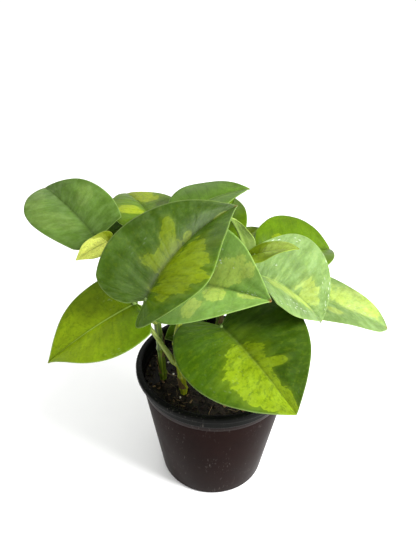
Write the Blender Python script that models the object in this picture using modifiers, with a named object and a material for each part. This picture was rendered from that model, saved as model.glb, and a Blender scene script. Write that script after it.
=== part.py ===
"""Potted pothos: a thin nursery pot, its soil, five rooted stems, and a stalk and a blade for each leaf.

Metres, +Z up. The origin is the centre of the pot's underside, and -Y is the front. The plant hangs from an
empty at the centre of the soil's surface, so it rises and falls with the pot's height and the soil's level.
"""

import math
from dataclasses import dataclass

import bmesh
import bpy
from mathutils import Matrix, Vector

# The pot: a turned wall with a flat lip and a stacking step under it. Its floor rests on a foot ring and on a
# pad at the centre, and is raised between them, where the drain holes are.
POT_HEIGHT = 0.092
RIM_RADIUS = 0.054
LIP_WIDTH = 0.0032
LIP_DEPTH = 0.0042
LIP_EDGE = 0.0006
STEP_DEPTH = 0.0115
STEP_IN = 0.0007
BASE_RADIUS = 0.0370
WALL = 0.0012
FLOOR_RISE = 0.0030
FOOT_WIDTH = 0.0050
PAD_RADIUS = 0.0120
POT_SEGMENTS = 48
DRAIN_HOLES = 6
DRAIN_RADIUS = 0.0035
DRAIN_CIRCLE = 0.0255

# The soil fills the pot to below its lip, and each stem stands in a hole of its own.
FIT_GAP = 0.0003
SOIL_DROP = 0.0100
SOIL_CROWN = 0.0025
SOIL_SEGMENTS = 32
SOIL_RINGS = (0.35, 0.60, 0.80, 0.92)
STEM_DEPTH = 0.0220

# Stems and leaf stalks. A stalk leaves its stem at a slant and meets its blade from below.
STEM_RADIUS = 0.0026
STEM_POINTS = 14
STALK_RADIUS = 0.0013
STALK_POINTS = 12
STALK_LEAN = 0.25
STALK_RISE = 0.40
STALK_ARRIVAL = 0.35

# Blades. Half of a flat blade of length 1 and width 1: the vein that leaves the midrib at x = MIDRIB[i] ends
# at MARGIN[i]. The first few veins all start at the stalk, and the last is the tip.
BLADE_THICKNESS = 0.0008
BLADE_ROWS = 9
BLADE_HALF_COLUMNS = 3
RUFFLE_WAVES = 2.2
MIDRIB = (0.00, 0.00, 0.00, 0.03, 0.12, 0.28, 0.46, 0.64, 0.82, 1.00)
MARGIN = (
    (-0.055, 0.035),
    (-0.165, 0.150),
    (-0.150, 0.310),
    (-0.020, 0.440),
    (0.190, 0.500),
    (0.410, 0.465),
    (0.625, 0.360),
    (0.800, 0.210),
    (0.925, 0.080),
    (1.000, 0.000),
)

# Each stem's route from the soil's surface up, in metres from the centre of that surface.
STEMS = {
    "left": (
        (-0.035, -0.007, 0.000),
        (-0.036, -0.007, 0.022),
        (-0.038, -0.005, 0.046),
        (-0.036, -0.001, 0.070),
    ),
    "front": (
        (-0.020, -0.020, 0.000),
        (-0.022, -0.019, 0.016),
        (-0.025, -0.015, 0.034),
        (-0.023, -0.010, 0.052),
    ),
    "right": (
        (0.014, 0.004, 0.000),
        (0.016, 0.006, 0.022),
        (0.015, 0.011, 0.046),
        (0.018, 0.012, 0.068),
    ),
    "back": (
        (0.004, 0.027, 0.000),
        (0.002, 0.029, 0.025),
        (0.004, 0.033, 0.052),
        (0.001, 0.036, 0.078),
    ),
    "rear_left": (
        (-0.024, 0.022, 0.000),
        (-0.026, 0.024, 0.024),
        (-0.030, 0.026, 0.050),
        (-0.032, 0.030, 0.072),
    ),
}

# The main colour of a blade.
DEEP = (0.07, 0.20, 0.02)
GREY_GREEN = (0.16, 0.30, 0.10)
LIME = (0.32, 0.50, 0.02)
PALE = (0.50, 0.62, 0.16)


@dataclass
class Leaf:
    """One leaf. Its stalk ends at base and its blade at tip, both from the centre of the soil's surface.

    at is how far up its stem the stalk starts, from 0 to 1. Angles are in degrees: roll turns the blade about
    the line from base to tip, fold lifts its halves from the midrib, curl turns them down again towards the
    margin, droop arches the midrib and sweep bends it sideways. lean widens the left half and narrows the
    right, lobes scales how far the left and right lobes reach behind the stalk, left and right scale each
    half's width at four even steps from the stalk to the tip, and bow shifts the stalk.
    """

    name: str
    stem: str
    at: float
    base: tuple
    tip: tuple
    width: float
    colour: tuple
    roll: float = 0.0
    fold: float = 22.0
    curl: float = 30.0
    droop: float = 25.0
    sweep: float = 0.0
    lean: float = 0.0
    ruffle: float = 0.0010
    lobes: tuple = (1.0, 1.0)
    left: tuple = (1.0, 1.0, 1.0, 1.0)
    right: tuple = (1.0, 1.0, 1.0, 1.0)
    bow: tuple = (0.0, 0.0, 0.0)


LEAVES = (
    Leaf("crown_large", "left", 0.90, (-0.038, -0.048, 0.092), (0.010, 0.010, 0.122), 0.070, DEEP,
         roll=10, fold=40, curl=25, sweep=-28, lobes=(0.5, 1.2), left=(0.9, 0.94, 0.90, 0.8),
         right=(-0.6, 0.95, 1.0, 1.0), bow=(-0.002, 0.000, -0.004)),
    Leaf("low_left", "left", 0.70, (-0.047, -0.034, 0.079), (-0.096, -0.052, 0.048), 0.056, LIME,
         roll=-20, fold=28, lobes=(0.35, 1.4), left=(1.1, 1.1, 1.0, 0.6), right=(1.2, 0.9, 0.8, 0.5)),
    Leaf("far_left", "front", 0.45, (-0.076, 0.008, 0.098), (-0.119, 0.054, 0.110), 0.056, GREY_GREEN,
         roll=-20, fold=24, droop=40, lobes=(0.5, 0.1), left=(0.4, 0.65, 1.25, 2.4),
         right=(0.5, 0.8, 0.95, 1.0), bow=(0.000, -0.008, 0.000)),
    Leaf("far_left_rear", "rear_left", 0.60, (-0.074, 0.042, 0.080), (-0.108, 0.083, 0.092), 0.040, DEEP,
         roll=-10),
    Leaf("new_pale", "left", 0.98, (-0.064, -0.010, 0.106), (-0.082, -0.020, 0.098), 0.015, PALE,
         roll=-30, fold=20),
    Leaf("back_left", "rear_left", 0.95, (-0.042, 0.026, 0.101), (-0.067, 0.072, 0.100), 0.055, LIME,
         roll=5, fold=15, lean=-0.1, lobes=(0.8, 1.0)),
    Leaf("crown_back", "back", 0.95, (-0.021, 0.024, 0.111), (0.019, 0.050, 0.116), 0.039, GREY_GREEN,
         lean=0.1, left=(0.7, 0.95, 1.0, 1.0), bow=(-0.006, -0.003, 0.000)),
    Leaf("back_centre", "back", 0.80, (-0.002, 0.036, 0.087), (0.010, 0.072, 0.099), 0.036, LIME),
    Leaf("back_pale", "back", 0.60, (0.009, 0.052, 0.068), (0.030, 0.078, 0.073), 0.028, PALE),
    Leaf("new_rolled", "right", 0.98, (0.015, 0.014, 0.090), (0.005, 0.006, 0.116), 0.016, LIME,
         fold=60),
    Leaf("crown_front", "right", 0.90, (-0.020, -0.007, 0.077), (0.030, -0.038, 0.087), 0.076, GREY_GREEN,
         roll=34, fold=38, curl=25, lobes=(0.7, 0.1)),
    Leaf("front_right", "front", 0.70, (0.003, -0.010, 0.047), (0.047, -0.067, 0.030), 0.088, DEEP,
         roll=10, fold=20, curl=24, lean=-0.02, lobes=(0.5, 1.0), left=(1.0, 1.0, 1.08, 1.2),
         right=(0.95, 0.88, 1.15, 1.8), bow=(0.000, 0.000, -0.008)),
    Leaf("right", "right", 0.65, (0.023, 0.003, 0.079), (0.071, 0.013, 0.036), 0.074, GREY_GREEN,
         roll=26, fold=40, curl=24, sweep=-28, lean=0.05, lobes=(0.3, 0.3), left=(0.15, 0.55, 1.25, 1.5),
         right=(1.0, 1.05, 1.1, 1.2), bow=(0.004, 0.011, 0.000)),
    Leaf("back_right", "back", 0.40, (0.035, 0.043, 0.066), (0.085, 0.084, 0.054), 0.059, LIME,
         roll=20, fold=34, curl=25, lobes=(0.5, 1.0), left=(0.7, 0.85, 1.25, 1.6)),
    Leaf("young_right", "right", 0.95, (0.021, -0.001, 0.095), (0.047, -0.006, 0.103), 0.021, LIME,
         roll=15, fold=35, left=(0.4, 0.5, 0.7, 1.0), right=(1.0, 1.2, 1.0, 1.0),
         bow=(-0.004, -0.002, 0.000)),
    Leaf("far_right", "right", 0.45, (0.058, 0.041, 0.040), (0.125, 0.036, 0.016), 0.047, PALE,
         roll=10, lobes=(1.0, 0.6), left=(1.0, 1.0, 1.15, 1.8), right=(1.0, 1.0, 1.1, 2.6)),
    Leaf("small_inner", "front", 0.45, (-0.019, 0.004, 0.032), (-0.034, -0.002, 0.029), 0.019, LIME,
         roll=-20),
)


def new_collection(name):
    collection = bpy.data.collections.new(name)
    bpy.context.scene.collection.children.link(collection)
    return collection


def material(name, colour, roughness, metallic=0.0):
    made = bpy.data.materials.new(name)
    made.use_nodes = True
    shader = made.node_tree.nodes["Principled BSDF"]
    shader.inputs["Base Color"].default_value = (*colour, 1.0)
    shader.inputs["Roughness"].default_value = roughness
    shader.inputs["Metallic"].default_value = metallic
    return made


def add_object(name, data, collection, finish=None, parent=None):
    made = bpy.data.objects.new(name, data)
    collection.objects.link(made)
    made.parent = parent
    if finish:
        data.materials.append(finish)
    return made


def curve_point(points, place):
    """The point at that place, from 0 to 1, on a Catmull-Rom curve through the given ones."""
    ends = [2 * points[0] - points[1], *points, 2 * points[-1] - points[-2]]
    index = place * (len(points) - 1)
    k = min(int(index), len(points) - 2)
    t = index - k
    a, b, c, d = ends[k : k + 4]
    return 0.5 * (2 * b + (c - a) * t + (2 * a - 5 * b + 4 * c - d) * t**2 + (3 * b - a - 3 * c + d) * t**3)


def tube(name, points, radii, finish, collection, parent):
    """A round solid along the points, with a radius at each."""
    data = bpy.data.curves.new(name, "CURVE")
    data.dimensions = "3D"
    data.bevel_depth = 1.0
    data.bevel_resolution = 2
    data.use_fill_caps = True
    spline = data.splines.new("POLY")
    spline.points.add(len(points) - 1)
    for knot, place, radius in zip(spline.points, points, radii):
        knot.co = (*place, 1.0)
        knot.radius = radius
    spline.use_smooth = True
    return add_object(name, data, collection, finish, parent)


def turned(name, profile, segments, finish, collection):
    """A solid of revolution about Z from a profile that starts and ends on the axis."""
    data = bpy.data.meshes.new(name)
    data.from_pydata([(x, 0.0, z) for x, z in profile], [(i, i + 1) for i in range(len(profile) - 1)], [])
    made = add_object(name, data, collection, finish)
    screw = made.modifiers.new("turn", "SCREW")
    screw.steps = screw.render_steps = segments
    screw.use_merge_vertices = True
    screw.merge_threshold = 1e-5
    screw.use_smooth_shade = False
    return made


def pot_wall_radius(height):
    """The outer radius of the tapered wall under its stacking step."""
    share = height / (POT_HEIGHT - STEP_DEPTH)
    top = RIM_RADIUS - LIP_WIDTH - STEP_IN
    return BASE_RADIUS + (top - BASE_RADIUS) * share


def make_pot(collection, cutters):
    lip_inner = RIM_RADIUS - LIP_WIDTH - WALL
    step_height = POT_HEIGHT - STEP_DEPTH
    foot_inner = BASE_RADIUS - FOOT_WIDTH
    profile = (
        (0.0, WALL),
        (PAD_RADIUS, WALL),
        (PAD_RADIUS + FLOOR_RISE, FLOOR_RISE + WALL),
        (pot_wall_radius(FLOOR_RISE + WALL) - WALL, FLOOR_RISE + WALL),
        (pot_wall_radius(step_height) - WALL, step_height),
        (lip_inner, step_height + STEP_IN),
        (lip_inner, POT_HEIGHT - LIP_EDGE),
        (lip_inner + LIP_EDGE, POT_HEIGHT),
        (RIM_RADIUS - LIP_EDGE, POT_HEIGHT),
        (RIM_RADIUS, POT_HEIGHT - LIP_EDGE),
        (RIM_RADIUS, POT_HEIGHT - LIP_DEPTH + LIP_EDGE),
        (RIM_RADIUS - LIP_EDGE, POT_HEIGHT - LIP_DEPTH),
        (RIM_RADIUS - LIP_WIDTH, POT_HEIGHT - LIP_DEPTH),
        (RIM_RADIUS - LIP_WIDTH, step_height + STEP_IN),
        (pot_wall_radius(step_height), step_height),
        (pot_wall_radius(2 * LIP_EDGE), 2 * LIP_EDGE),
        (BASE_RADIUS - 2 * LIP_EDGE, 0.0),
        (foot_inner + LIP_EDGE, 0.0),
        (foot_inner, LIP_EDGE),
        (foot_inner - FLOOR_RISE / 2, FLOOR_RISE),
        (PAD_RADIUS + FLOOR_RISE, FLOOR_RISE),
        (PAD_RADIUS, 0.0),
        (0.0, 0.0),
    )
    finish = material("pot_plastic", (0.018, 0.014, 0.013), 0.38)
    pot = turned("nursery_pot", profile, POT_SEGMENTS, finish, collection)
    pot.data.shade_smooth()
    for i in range(DRAIN_HOLES):
        angle = 2 * math.pi * i / DRAIN_HOLES
        place = (DRAIN_CIRCLE * math.cos(angle), DRAIN_CIRCLE * math.sin(angle), FLOOR_RISE)
        cut(pot, cutters, f"drain_cutter_{i + 1}", DRAIN_RADIUS, 4 * FLOOR_RISE, place)
    return pot


def cut(target, cutters, name, radius, depth, centre):
    """Takes an upright round hole out of the target."""
    bpy.ops.mesh.primitive_cylinder_add(vertices=16, radius=radius, depth=depth, location=centre)
    cutter = bpy.context.object
    cutter.name = name
    cutter.display_type = "WIRE"
    cutter.hide_render = True
    for holder in list(cutter.users_collection):
        holder.objects.unlink(cutter)
    cutters.objects.link(cutter)
    boolean = target.modifiers.new(name, "BOOLEAN")
    boolean.operation = "DIFFERENCE"
    boolean.object = cutter


def make_soil(collection, cutters):
    top = POT_HEIGHT - SOIL_DROP
    bottom = FLOOR_RISE + WALL + FIT_GAP
    step_height = POT_HEIGHT - STEP_DEPTH
    inside = WALL + FIT_GAP
    edge_height = top - SOIL_CROWN
    reach = pot_wall_radius(min(edge_height, step_height)) - inside
    profile = [(0.0, top)]
    profile += [(share * reach, top - SOIL_CROWN * share**3) for share in SOIL_RINGS]
    profile += [
        (reach, edge_height),
        (pot_wall_radius(bottom) - inside, bottom),
        (PAD_RADIUS + FLOOR_RISE - FIT_GAP, bottom),
        (PAD_RADIUS - FIT_GAP, bottom - FLOOR_RISE),
        (0.0, bottom - FLOOR_RISE),
    ]
    finish = material("potting_soil", (0.020, 0.014, 0.010), 0.95)
    soil = turned("potting_soil", profile, SOIL_SEGMENTS, finish, collection)
    soil.data.shade_smooth()
    for name, route in STEMS.items():
        low, high = top - STEM_DEPTH - FIT_GAP, top + SOIL_CROWN
        centre = (route[0][0], route[0][1], (low + high) / 2)
        cut(soil, cutters, f"stem_{name}_hole", STEM_RADIUS + FIT_GAP, high - low, centre)
    return soil


def stem_line(name):
    """The stem's centre line above the soil."""
    route = [Vector(point) for point in STEMS[name]]
    return [curve_point(route, i / (STEM_POINTS - 1)) for i in range(STEM_POINTS)]


def make_stem(name, collection, plant):
    above = stem_line(name)
    below = [above[0] - Vector((0, 0, STEM_DEPTH)), above[0] - Vector((0, 0, STEM_DEPTH / 2))]
    points = below + above
    radii = [STEM_RADIUS] * (len(points) - 2) + [0.8 * STEM_RADIUS, 0.45 * STEM_RADIUS]
    finish = material(f"stem_{name}", (0.12, 0.22, 0.03), 0.5)
    return tube(f"stem_{name}", points, radii, finish, collection, plant)


def margin_at(place):
    """(midrib x, margin x, margin y) of the vein at that place, from 0 at the stalk to 1 at the tip."""
    return curve_point([Vector((middle, *edge)) for middle, edge in zip(MIDRIB, MARGIN)], place)


def blade_point(leaf, length, place, across):
    """A point of the bent blade in its own axes: +X from stalk to tip, +Y its left side, +Z its upper face.

    place runs from 0 at the stalk to 1 at the tip, and across from -1 on the right margin to 1 on the left.
    """
    middle, edge_x, edge_y = margin_at(place)
    side = 1 if across >= 0 else -1
    edge_y *= curve_point(leaf.left if side > 0 else leaf.right, place)
    if edge_x < 0:
        edge_x *= leaf.lobes[0 if side > 0 else 1]
    x = middle + (edge_x - middle) * abs(across)
    half = 0.5 * leaf.width * (1 + side * leaf.lean)
    share = 2 * edge_y * abs(across)
    fold, curl = math.radians(leaf.fold), math.radians(leaf.curl)
    out = half * (math.sin(fold) - math.sin(fold - curl * share)) / curl
    lift = half * (math.cos(fold - curl * share) - math.cos(fold)) / curl
    lift += leaf.ruffle * share**2 * math.sin(2 * math.pi * RUFFLE_WAVES * place + 2 * side)
    droop, sweep = math.radians(leaf.droop), math.radians(leaf.sweep)
    arch = Vector((math.sin(droop * x) / droop, sweep * x * x / 2, (math.cos(droop * x) - 1) / droop))
    turn = Matrix.Rotation(sweep * x, 3, "Z") @ Matrix.Rotation(droop * x, 3, "Y")
    return length * arch + turn @ Vector((0.0, side * out, lift))


def blade_frame(leaf):
    """The blade's length, and the matrix that puts its base and tip where the leaf says."""
    base, tip = Vector(leaf.base), Vector(leaf.tip)
    reach = blade_point(leaf, 1.0, 1.0, 0.0)
    length = (tip - base).length / reach.length
    along = (tip - base).normalized()
    left = Vector((0, 0, 1)).cross(along).normalized()
    world = Matrix((along, left, along.cross(left))).transposed()
    own_x = reach.normalized()
    own_y = Vector((0, 0, 1)).cross(own_x).normalized()
    own = Matrix((own_x, own_y, own_x.cross(own_y)))
    turn = world @ Matrix.Rotation(math.radians(leaf.roll), 3, "X") @ own
    return length, Matrix.Translation(base) @ turn.to_4x4()


def make_blade(leaf, collection, plant):
    length, frame = blade_frame(leaf)
    mesh = bmesh.new()
    bmesh.ops.create_grid(mesh, x_segments=BLADE_ROWS, y_segments=2 * BLADE_HALF_COLUMNS, size=1.0)
    for vertex in mesh.verts:
        vertex.co = blade_point(leaf, length, (vertex.co.x + 1) / 2, vertex.co.y)
    bmesh.ops.remove_doubles(mesh, verts=mesh.verts, dist=1e-5)
    data = bpy.data.meshes.new(f"leaf_{leaf.name}")
    mesh.to_mesh(data)
    mesh.free()
    data.shade_smooth()
    finish = material(f"leaf_{leaf.name}", leaf.colour, 0.4)
    blade = add_object(f"leaf_{leaf.name}", data, collection, finish, plant)
    blade.matrix_local = frame
    skin = blade.modifiers.new("thickness", "SOLIDIFY")
    skin.thickness = BLADE_THICKNESS
    skin.offset = 0.0
    return blade


def stalk_line(leaf):
    """The stalk's centre line, from beside its stem to just under the blade's base."""
    _, frame = blade_frame(leaf)
    turn = frame.to_3x3()
    arrive = turn @ Vector((0.5, 0.0, 1.0)).normalized()
    end = Vector(leaf.base) - turn @ Vector((0, 0, BLADE_THICKNESS / 2 + 2 * FIT_GAP)) - arrive * FIT_GAP
    line = stem_line(leaf.stem)
    node = line[round(leaf.at * (len(line) - 1))]
    away = Vector((end.x - node.x, end.y - node.y, 0.0)).normalized()
    start = node + away * (STEM_RADIUS + STALK_RADIUS + 2 * FIT_GAP)
    reach = (end - start).length
    first = start + (away * STALK_LEAN + Vector((0, 0, STALK_RISE))) * reach + Vector(leaf.bow)
    last = end - arrive * STALK_ARRIVAL * reach + Vector(leaf.bow)
    points = []
    for i in range(STALK_POINTS):
        t = i / (STALK_POINTS - 1)
        s = 1 - t
        points.append(s**3 * start + 3 * s**2 * t * first + 3 * s * t**2 * last + t**3 * end)
    return points


def make_stalk(leaf, collection, plant):
    points = stalk_line(leaf)
    radii = [STALK_RADIUS * (1.25 - 0.45 * i / (len(points) - 1)) for i in range(len(points))]
    finish = material(f"stalk_{leaf.name}", (0.35, 0.50, 0.10), 0.45)
    return tube(f"stalk_{leaf.name}", points, radii, finish, collection, plant)


def main():
    for old in list(bpy.data.objects):
        bpy.data.objects.remove(old, do_unlink=True)
    collection = new_collection("potted_pothos")
    cutters = new_collection("cutters")
    make_pot(collection, cutters)
    make_soil(collection, cutters)
    plant = bpy.data.objects.new("plant_origin", None)
    plant.location = (0.0, 0.0, POT_HEIGHT - SOIL_DROP)
    collection.objects.link(plant)
    for name in STEMS:
        make_stem(name, collection, plant)
    for leaf in LEAVES:
        make_stalk(leaf, collection, plant)
        make_blade(leaf, collection, plant)


main()
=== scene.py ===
"""Potted pothos: a nursery pot with its potting mix, five rooted vines, and a stalk and blade for each leaf.

Metres, +Z up, in the frame of the packed part: the origin is the centre of the pot's underside and -Y is the
front. The plant is measured from the centre of the soil's surface, as it is in the part. A blade's UV map,
"veins", says where a point is on the leaf: u runs along the midrib from the stalk to the tip, and v from the
right margin to the left one.
"""

import math
import random
from dataclasses import dataclass

import bpy
from mathutils import Matrix, Quaternion, Vector, noise
from mathutils.kdtree import KDTree


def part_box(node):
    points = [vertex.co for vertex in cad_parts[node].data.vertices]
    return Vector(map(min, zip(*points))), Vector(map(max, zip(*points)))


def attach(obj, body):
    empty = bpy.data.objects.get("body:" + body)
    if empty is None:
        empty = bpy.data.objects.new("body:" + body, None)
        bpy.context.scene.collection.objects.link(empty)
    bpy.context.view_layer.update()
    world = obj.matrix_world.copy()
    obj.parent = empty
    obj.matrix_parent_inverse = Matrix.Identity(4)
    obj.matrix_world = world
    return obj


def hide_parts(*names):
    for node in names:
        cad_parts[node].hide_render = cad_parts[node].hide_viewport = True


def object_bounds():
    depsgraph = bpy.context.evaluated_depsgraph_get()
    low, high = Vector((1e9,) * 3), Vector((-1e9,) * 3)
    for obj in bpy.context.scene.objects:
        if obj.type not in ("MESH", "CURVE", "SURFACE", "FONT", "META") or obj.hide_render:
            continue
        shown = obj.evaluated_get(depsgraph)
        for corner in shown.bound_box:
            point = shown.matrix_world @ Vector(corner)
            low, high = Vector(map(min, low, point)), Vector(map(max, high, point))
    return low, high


bl_info = {
    "name": "Potted pothos",
    "version": (1, 0, 0),
    "blender": (4, 5, 0),
    "location": "3D View > Sidebar > Pothos",
    "description": "Builds a potted pothos around its packed frame",
    "category": "Object",
}

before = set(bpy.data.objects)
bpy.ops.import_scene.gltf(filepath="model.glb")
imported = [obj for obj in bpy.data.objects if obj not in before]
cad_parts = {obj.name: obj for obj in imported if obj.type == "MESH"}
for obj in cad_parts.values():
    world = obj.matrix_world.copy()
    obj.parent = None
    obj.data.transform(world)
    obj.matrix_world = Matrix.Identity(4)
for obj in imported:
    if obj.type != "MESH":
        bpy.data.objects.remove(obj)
CAD_BOX = [list(corner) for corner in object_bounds()]
POT_LOW, POT_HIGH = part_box("nursery_pot")
SOIL_LOW, SOIL_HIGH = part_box("potting_soil")
SOIL_TOP = SOIL_HIGH.z
MM = 0.001

# The pot's profile, as in the part.
RIM_RADIUS = (POT_HIGH.x - POT_LOW.x) / 2
POT_HEIGHT = POT_HIGH.z
LIP_WIDTH = 0.0032
LIP_DEPTH = 0.0042
STEP_DEPTH = 0.0115
STEP_IN = 0.0007
BASE_RADIUS = 0.0370
WALL = 0.0012
FLOOR_RISE = 0.0030
FOOT_WIDTH = 0.0050
PAD_RADIUS = 0.0120
DRAIN_HOLES = 6
DRAIN_RADIUS = 0.0035
DRAIN_CIRCLE = 0.0255
LIP_EDGE = 0.0006
LINE_DROP = 0.0040
LINE_HALF_WIDTH = 0.0006
POT_SIDES = 128

# The potting mix: its gap to the pot, its gap to the wall at the surface, and how far its edge lies below its
# middle.
SOIL_GAP = 0.0003
SURFACE_GAP = 0.0002
SOIL_CROWN = 0.0025

# Stems, stalks and blades, as in the part.
STEM_DEPTH = 0.0220
STEM_RADIUS = 0.0026
STALK_RADIUS = 0.0013
STALK_LEAN = 0.25
STALK_RISE = 0.40
STALK_ARRIVAL = 0.35
RUFFLE_WAVES = 2.2
MIDRIB = (0.00, 0.00, 0.00, 0.03, 0.12, 0.28, 0.46, 0.64, 0.82, 1.00)
MARGIN = (
    (-0.055, 0.035),
    (-0.165, 0.150),
    (-0.150, 0.310),
    (-0.020, 0.440),
    (0.190, 0.500),
    (0.410, 0.465),
    (0.625, 0.360),
    (0.800, 0.210),
    (0.925, 0.080),
    (1.000, 0.000),
)

# Each stem's route from the soil's surface up, in metres from the centre of that surface.
STEMS = {
    "left": (
        (-0.035, -0.007, 0.000),
        (-0.036, -0.007, 0.022),
        (-0.038, -0.005, 0.046),
        (-0.036, -0.001, 0.070),
    ),
    "front": (
        (-0.020, -0.020, 0.000),
        (-0.022, -0.019, 0.016),
        (-0.025, -0.015, 0.034),
        (-0.023, -0.010, 0.052),
    ),
    "right": (
        (0.014, 0.004, 0.000),
        (0.016, 0.006, 0.022),
        (0.015, 0.011, 0.046),
        (0.018, 0.012, 0.068),
    ),
    "back": (
        (0.004, 0.027, 0.000),
        (0.002, 0.029, 0.025),
        (0.004, 0.033, 0.052),
        (0.001, 0.036, 0.078),
    ),
    "rear_left": (
        (-0.024, 0.022, 0.000),
        (-0.026, 0.024, 0.024),
        (-0.030, 0.026, 0.050),
        (-0.032, 0.030, 0.072),
    ),
}

YELLOW_STEMS = ("front",)

# How finely a piece is made.
BLADE_ROWS = 84
BLADE_COLUMNS = 56
STEM_ROWS = 96
STEM_SIDES = 20
STALK_ROWS = 48
STALK_SIDES = 14


@dataclass
class Leaf:
    """One leaf's shape, with the part's own numbers. Angles are in degrees."""

    name: str
    stem: str
    at: float
    base: tuple
    tip: tuple
    width: float
    roll: float = 0.0
    fold: float = 22.0
    curl: float = 30.0
    droop: float = 25.0
    sweep: float = 0.0
    lean: float = 0.0
    ruffle: float = 0.0010
    lobes: tuple = (1.0, 1.0)
    left: tuple = (1.0, 1.0, 1.0, 1.0)
    right: tuple = (1.0, 1.0, 1.0, 1.0)
    bow: tuple = (0.0, 0.0, 0.0)


LEAVES = (
    Leaf("crown_large", "left", 0.90, (-0.038, -0.048, 0.092), (0.010, 0.010, 0.122), 0.070,
         roll=10, fold=40, curl=25, sweep=-28, lobes=(0.5, 1.2), left=(0.9, 0.94, 0.90, 0.8),
         right=(-0.6, 0.95, 1.0, 1.0), bow=(-0.002, 0.000, -0.004)),
    Leaf("low_left", "left", 0.70, (-0.047, -0.034, 0.079), (-0.096, -0.052, 0.048), 0.056,
         roll=-20, fold=28, lobes=(0.35, 1.4), left=(1.1, 1.1, 1.0, 0.6), right=(1.2, 0.9, 0.8, 0.5)),
    Leaf("far_left", "front", 0.45, (-0.076, 0.008, 0.098), (-0.119, 0.054, 0.110), 0.056,
         roll=-20, fold=24, droop=40, lobes=(0.5, 0.1), left=(0.4, 0.65, 1.25, 2.4),
         right=(0.5, 0.8, 0.95, 1.0), bow=(0.000, -0.008, 0.000)),
    Leaf("far_left_rear", "rear_left", 0.60, (-0.074, 0.042, 0.080), (-0.108, 0.083, 0.092), 0.040,
         roll=-10),
    Leaf("new_pale", "left", 0.98, (-0.064, -0.010, 0.106), (-0.082, -0.020, 0.098), 0.015,
         roll=-30, fold=20),
    Leaf("back_left", "rear_left", 0.95, (-0.042, 0.026, 0.101), (-0.067, 0.072, 0.100), 0.055,
         roll=5, fold=15, lean=-0.1, lobes=(0.8, 1.0)),
    Leaf("crown_back", "back", 0.95, (-0.021, 0.024, 0.111), (0.019, 0.050, 0.116), 0.039,
         lean=0.1, left=(0.7, 0.95, 1.0, 1.0), bow=(-0.006, -0.003, 0.000)),
    Leaf("back_centre", "back", 0.80, (-0.002, 0.036, 0.087), (0.010, 0.072, 0.099), 0.036),
    Leaf("back_pale", "back", 0.60, (0.009, 0.052, 0.068), (0.030, 0.078, 0.073), 0.028),
    Leaf("new_rolled", "right", 0.98, (0.015, 0.014, 0.090), (0.005, 0.006, 0.116), 0.016,
         fold=60),
    Leaf("crown_front", "right", 0.90, (-0.020, -0.007, 0.077), (0.030, -0.038, 0.087), 0.076,
         roll=34, fold=38, curl=25, lobes=(0.7, 0.1)),
    Leaf("front_right", "front", 0.70, (0.003, -0.010, 0.047), (0.047, -0.067, 0.030), 0.088,
         roll=10, fold=20, curl=24, lean=-0.02, lobes=(0.5, 1.0), left=(1.0, 1.0, 1.08, 1.2),
         right=(0.95, 0.88, 1.15, 1.8), bow=(0.000, 0.000, -0.008)),
    Leaf("right", "right", 0.65, (0.023, 0.003, 0.079), (0.071, 0.013, 0.036), 0.074,
         roll=26, fold=40, curl=24, sweep=-28, lean=0.05, lobes=(0.3, 0.3), left=(0.15, 0.55, 1.25, 1.5),
         right=(1.0, 1.05, 1.1, 1.2), bow=(0.004, 0.011, 0.000)),
    Leaf("back_right", "back", 0.40, (0.035, 0.043, 0.066), (0.085, 0.084, 0.054), 0.059,
         roll=20, fold=34, curl=25, lobes=(0.5, 1.0), left=(0.7, 0.85, 1.25, 1.6)),
    Leaf("young_right", "right", 0.95, (0.021, -0.001, 0.095), (0.047, -0.006, 0.103), 0.021,
         roll=15, fold=35, left=(0.4, 0.5, 0.7, 1.0), right=(1.0, 1.2, 1.0, 1.0),
         bow=(-0.004, -0.002, 0.000)),
    Leaf("far_right", "right", 0.45, (0.058, 0.041, 0.040), (0.125, 0.036, 0.016), 0.047,
         roll=10, lobes=(1.0, 0.6), left=(1.0, 1.0, 1.15, 1.8), right=(1.0, 1.0, 1.1, 2.6)),
    Leaf("small_inner", "front", 0.45, (-0.019, 0.004, 0.032), (-0.034, -0.002, 0.029), 0.019,
         roll=-20),
)


@dataclass
class Patch:
    """A ragged patch of the second colour: its middle and half size along the leaf and across it."""

    place: float
    across: float
    half_place: float
    half_across: float
    ragged: float = 0.55
    slant: float = 0.0


@dataclass
class Finish:
    """One leaf's colours. ground and patch are names of colours in LeafSettings.

    soft widens the patches' edges, the sheen value is the strength of a painted sheen laid over the blade,
    and the half pair paints the left and the right half lighter or darker, as painted light and shade.
    """

    slot: str
    ground: str
    patch: str
    patches: tuple
    midrib: float = 0.3
    marks: float = 0.0
    tip: float = 0.4
    soft: float = 0.05
    painted_sheen: float = 0.0
    painted_half_light: tuple = (1.0, 1.0)


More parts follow.
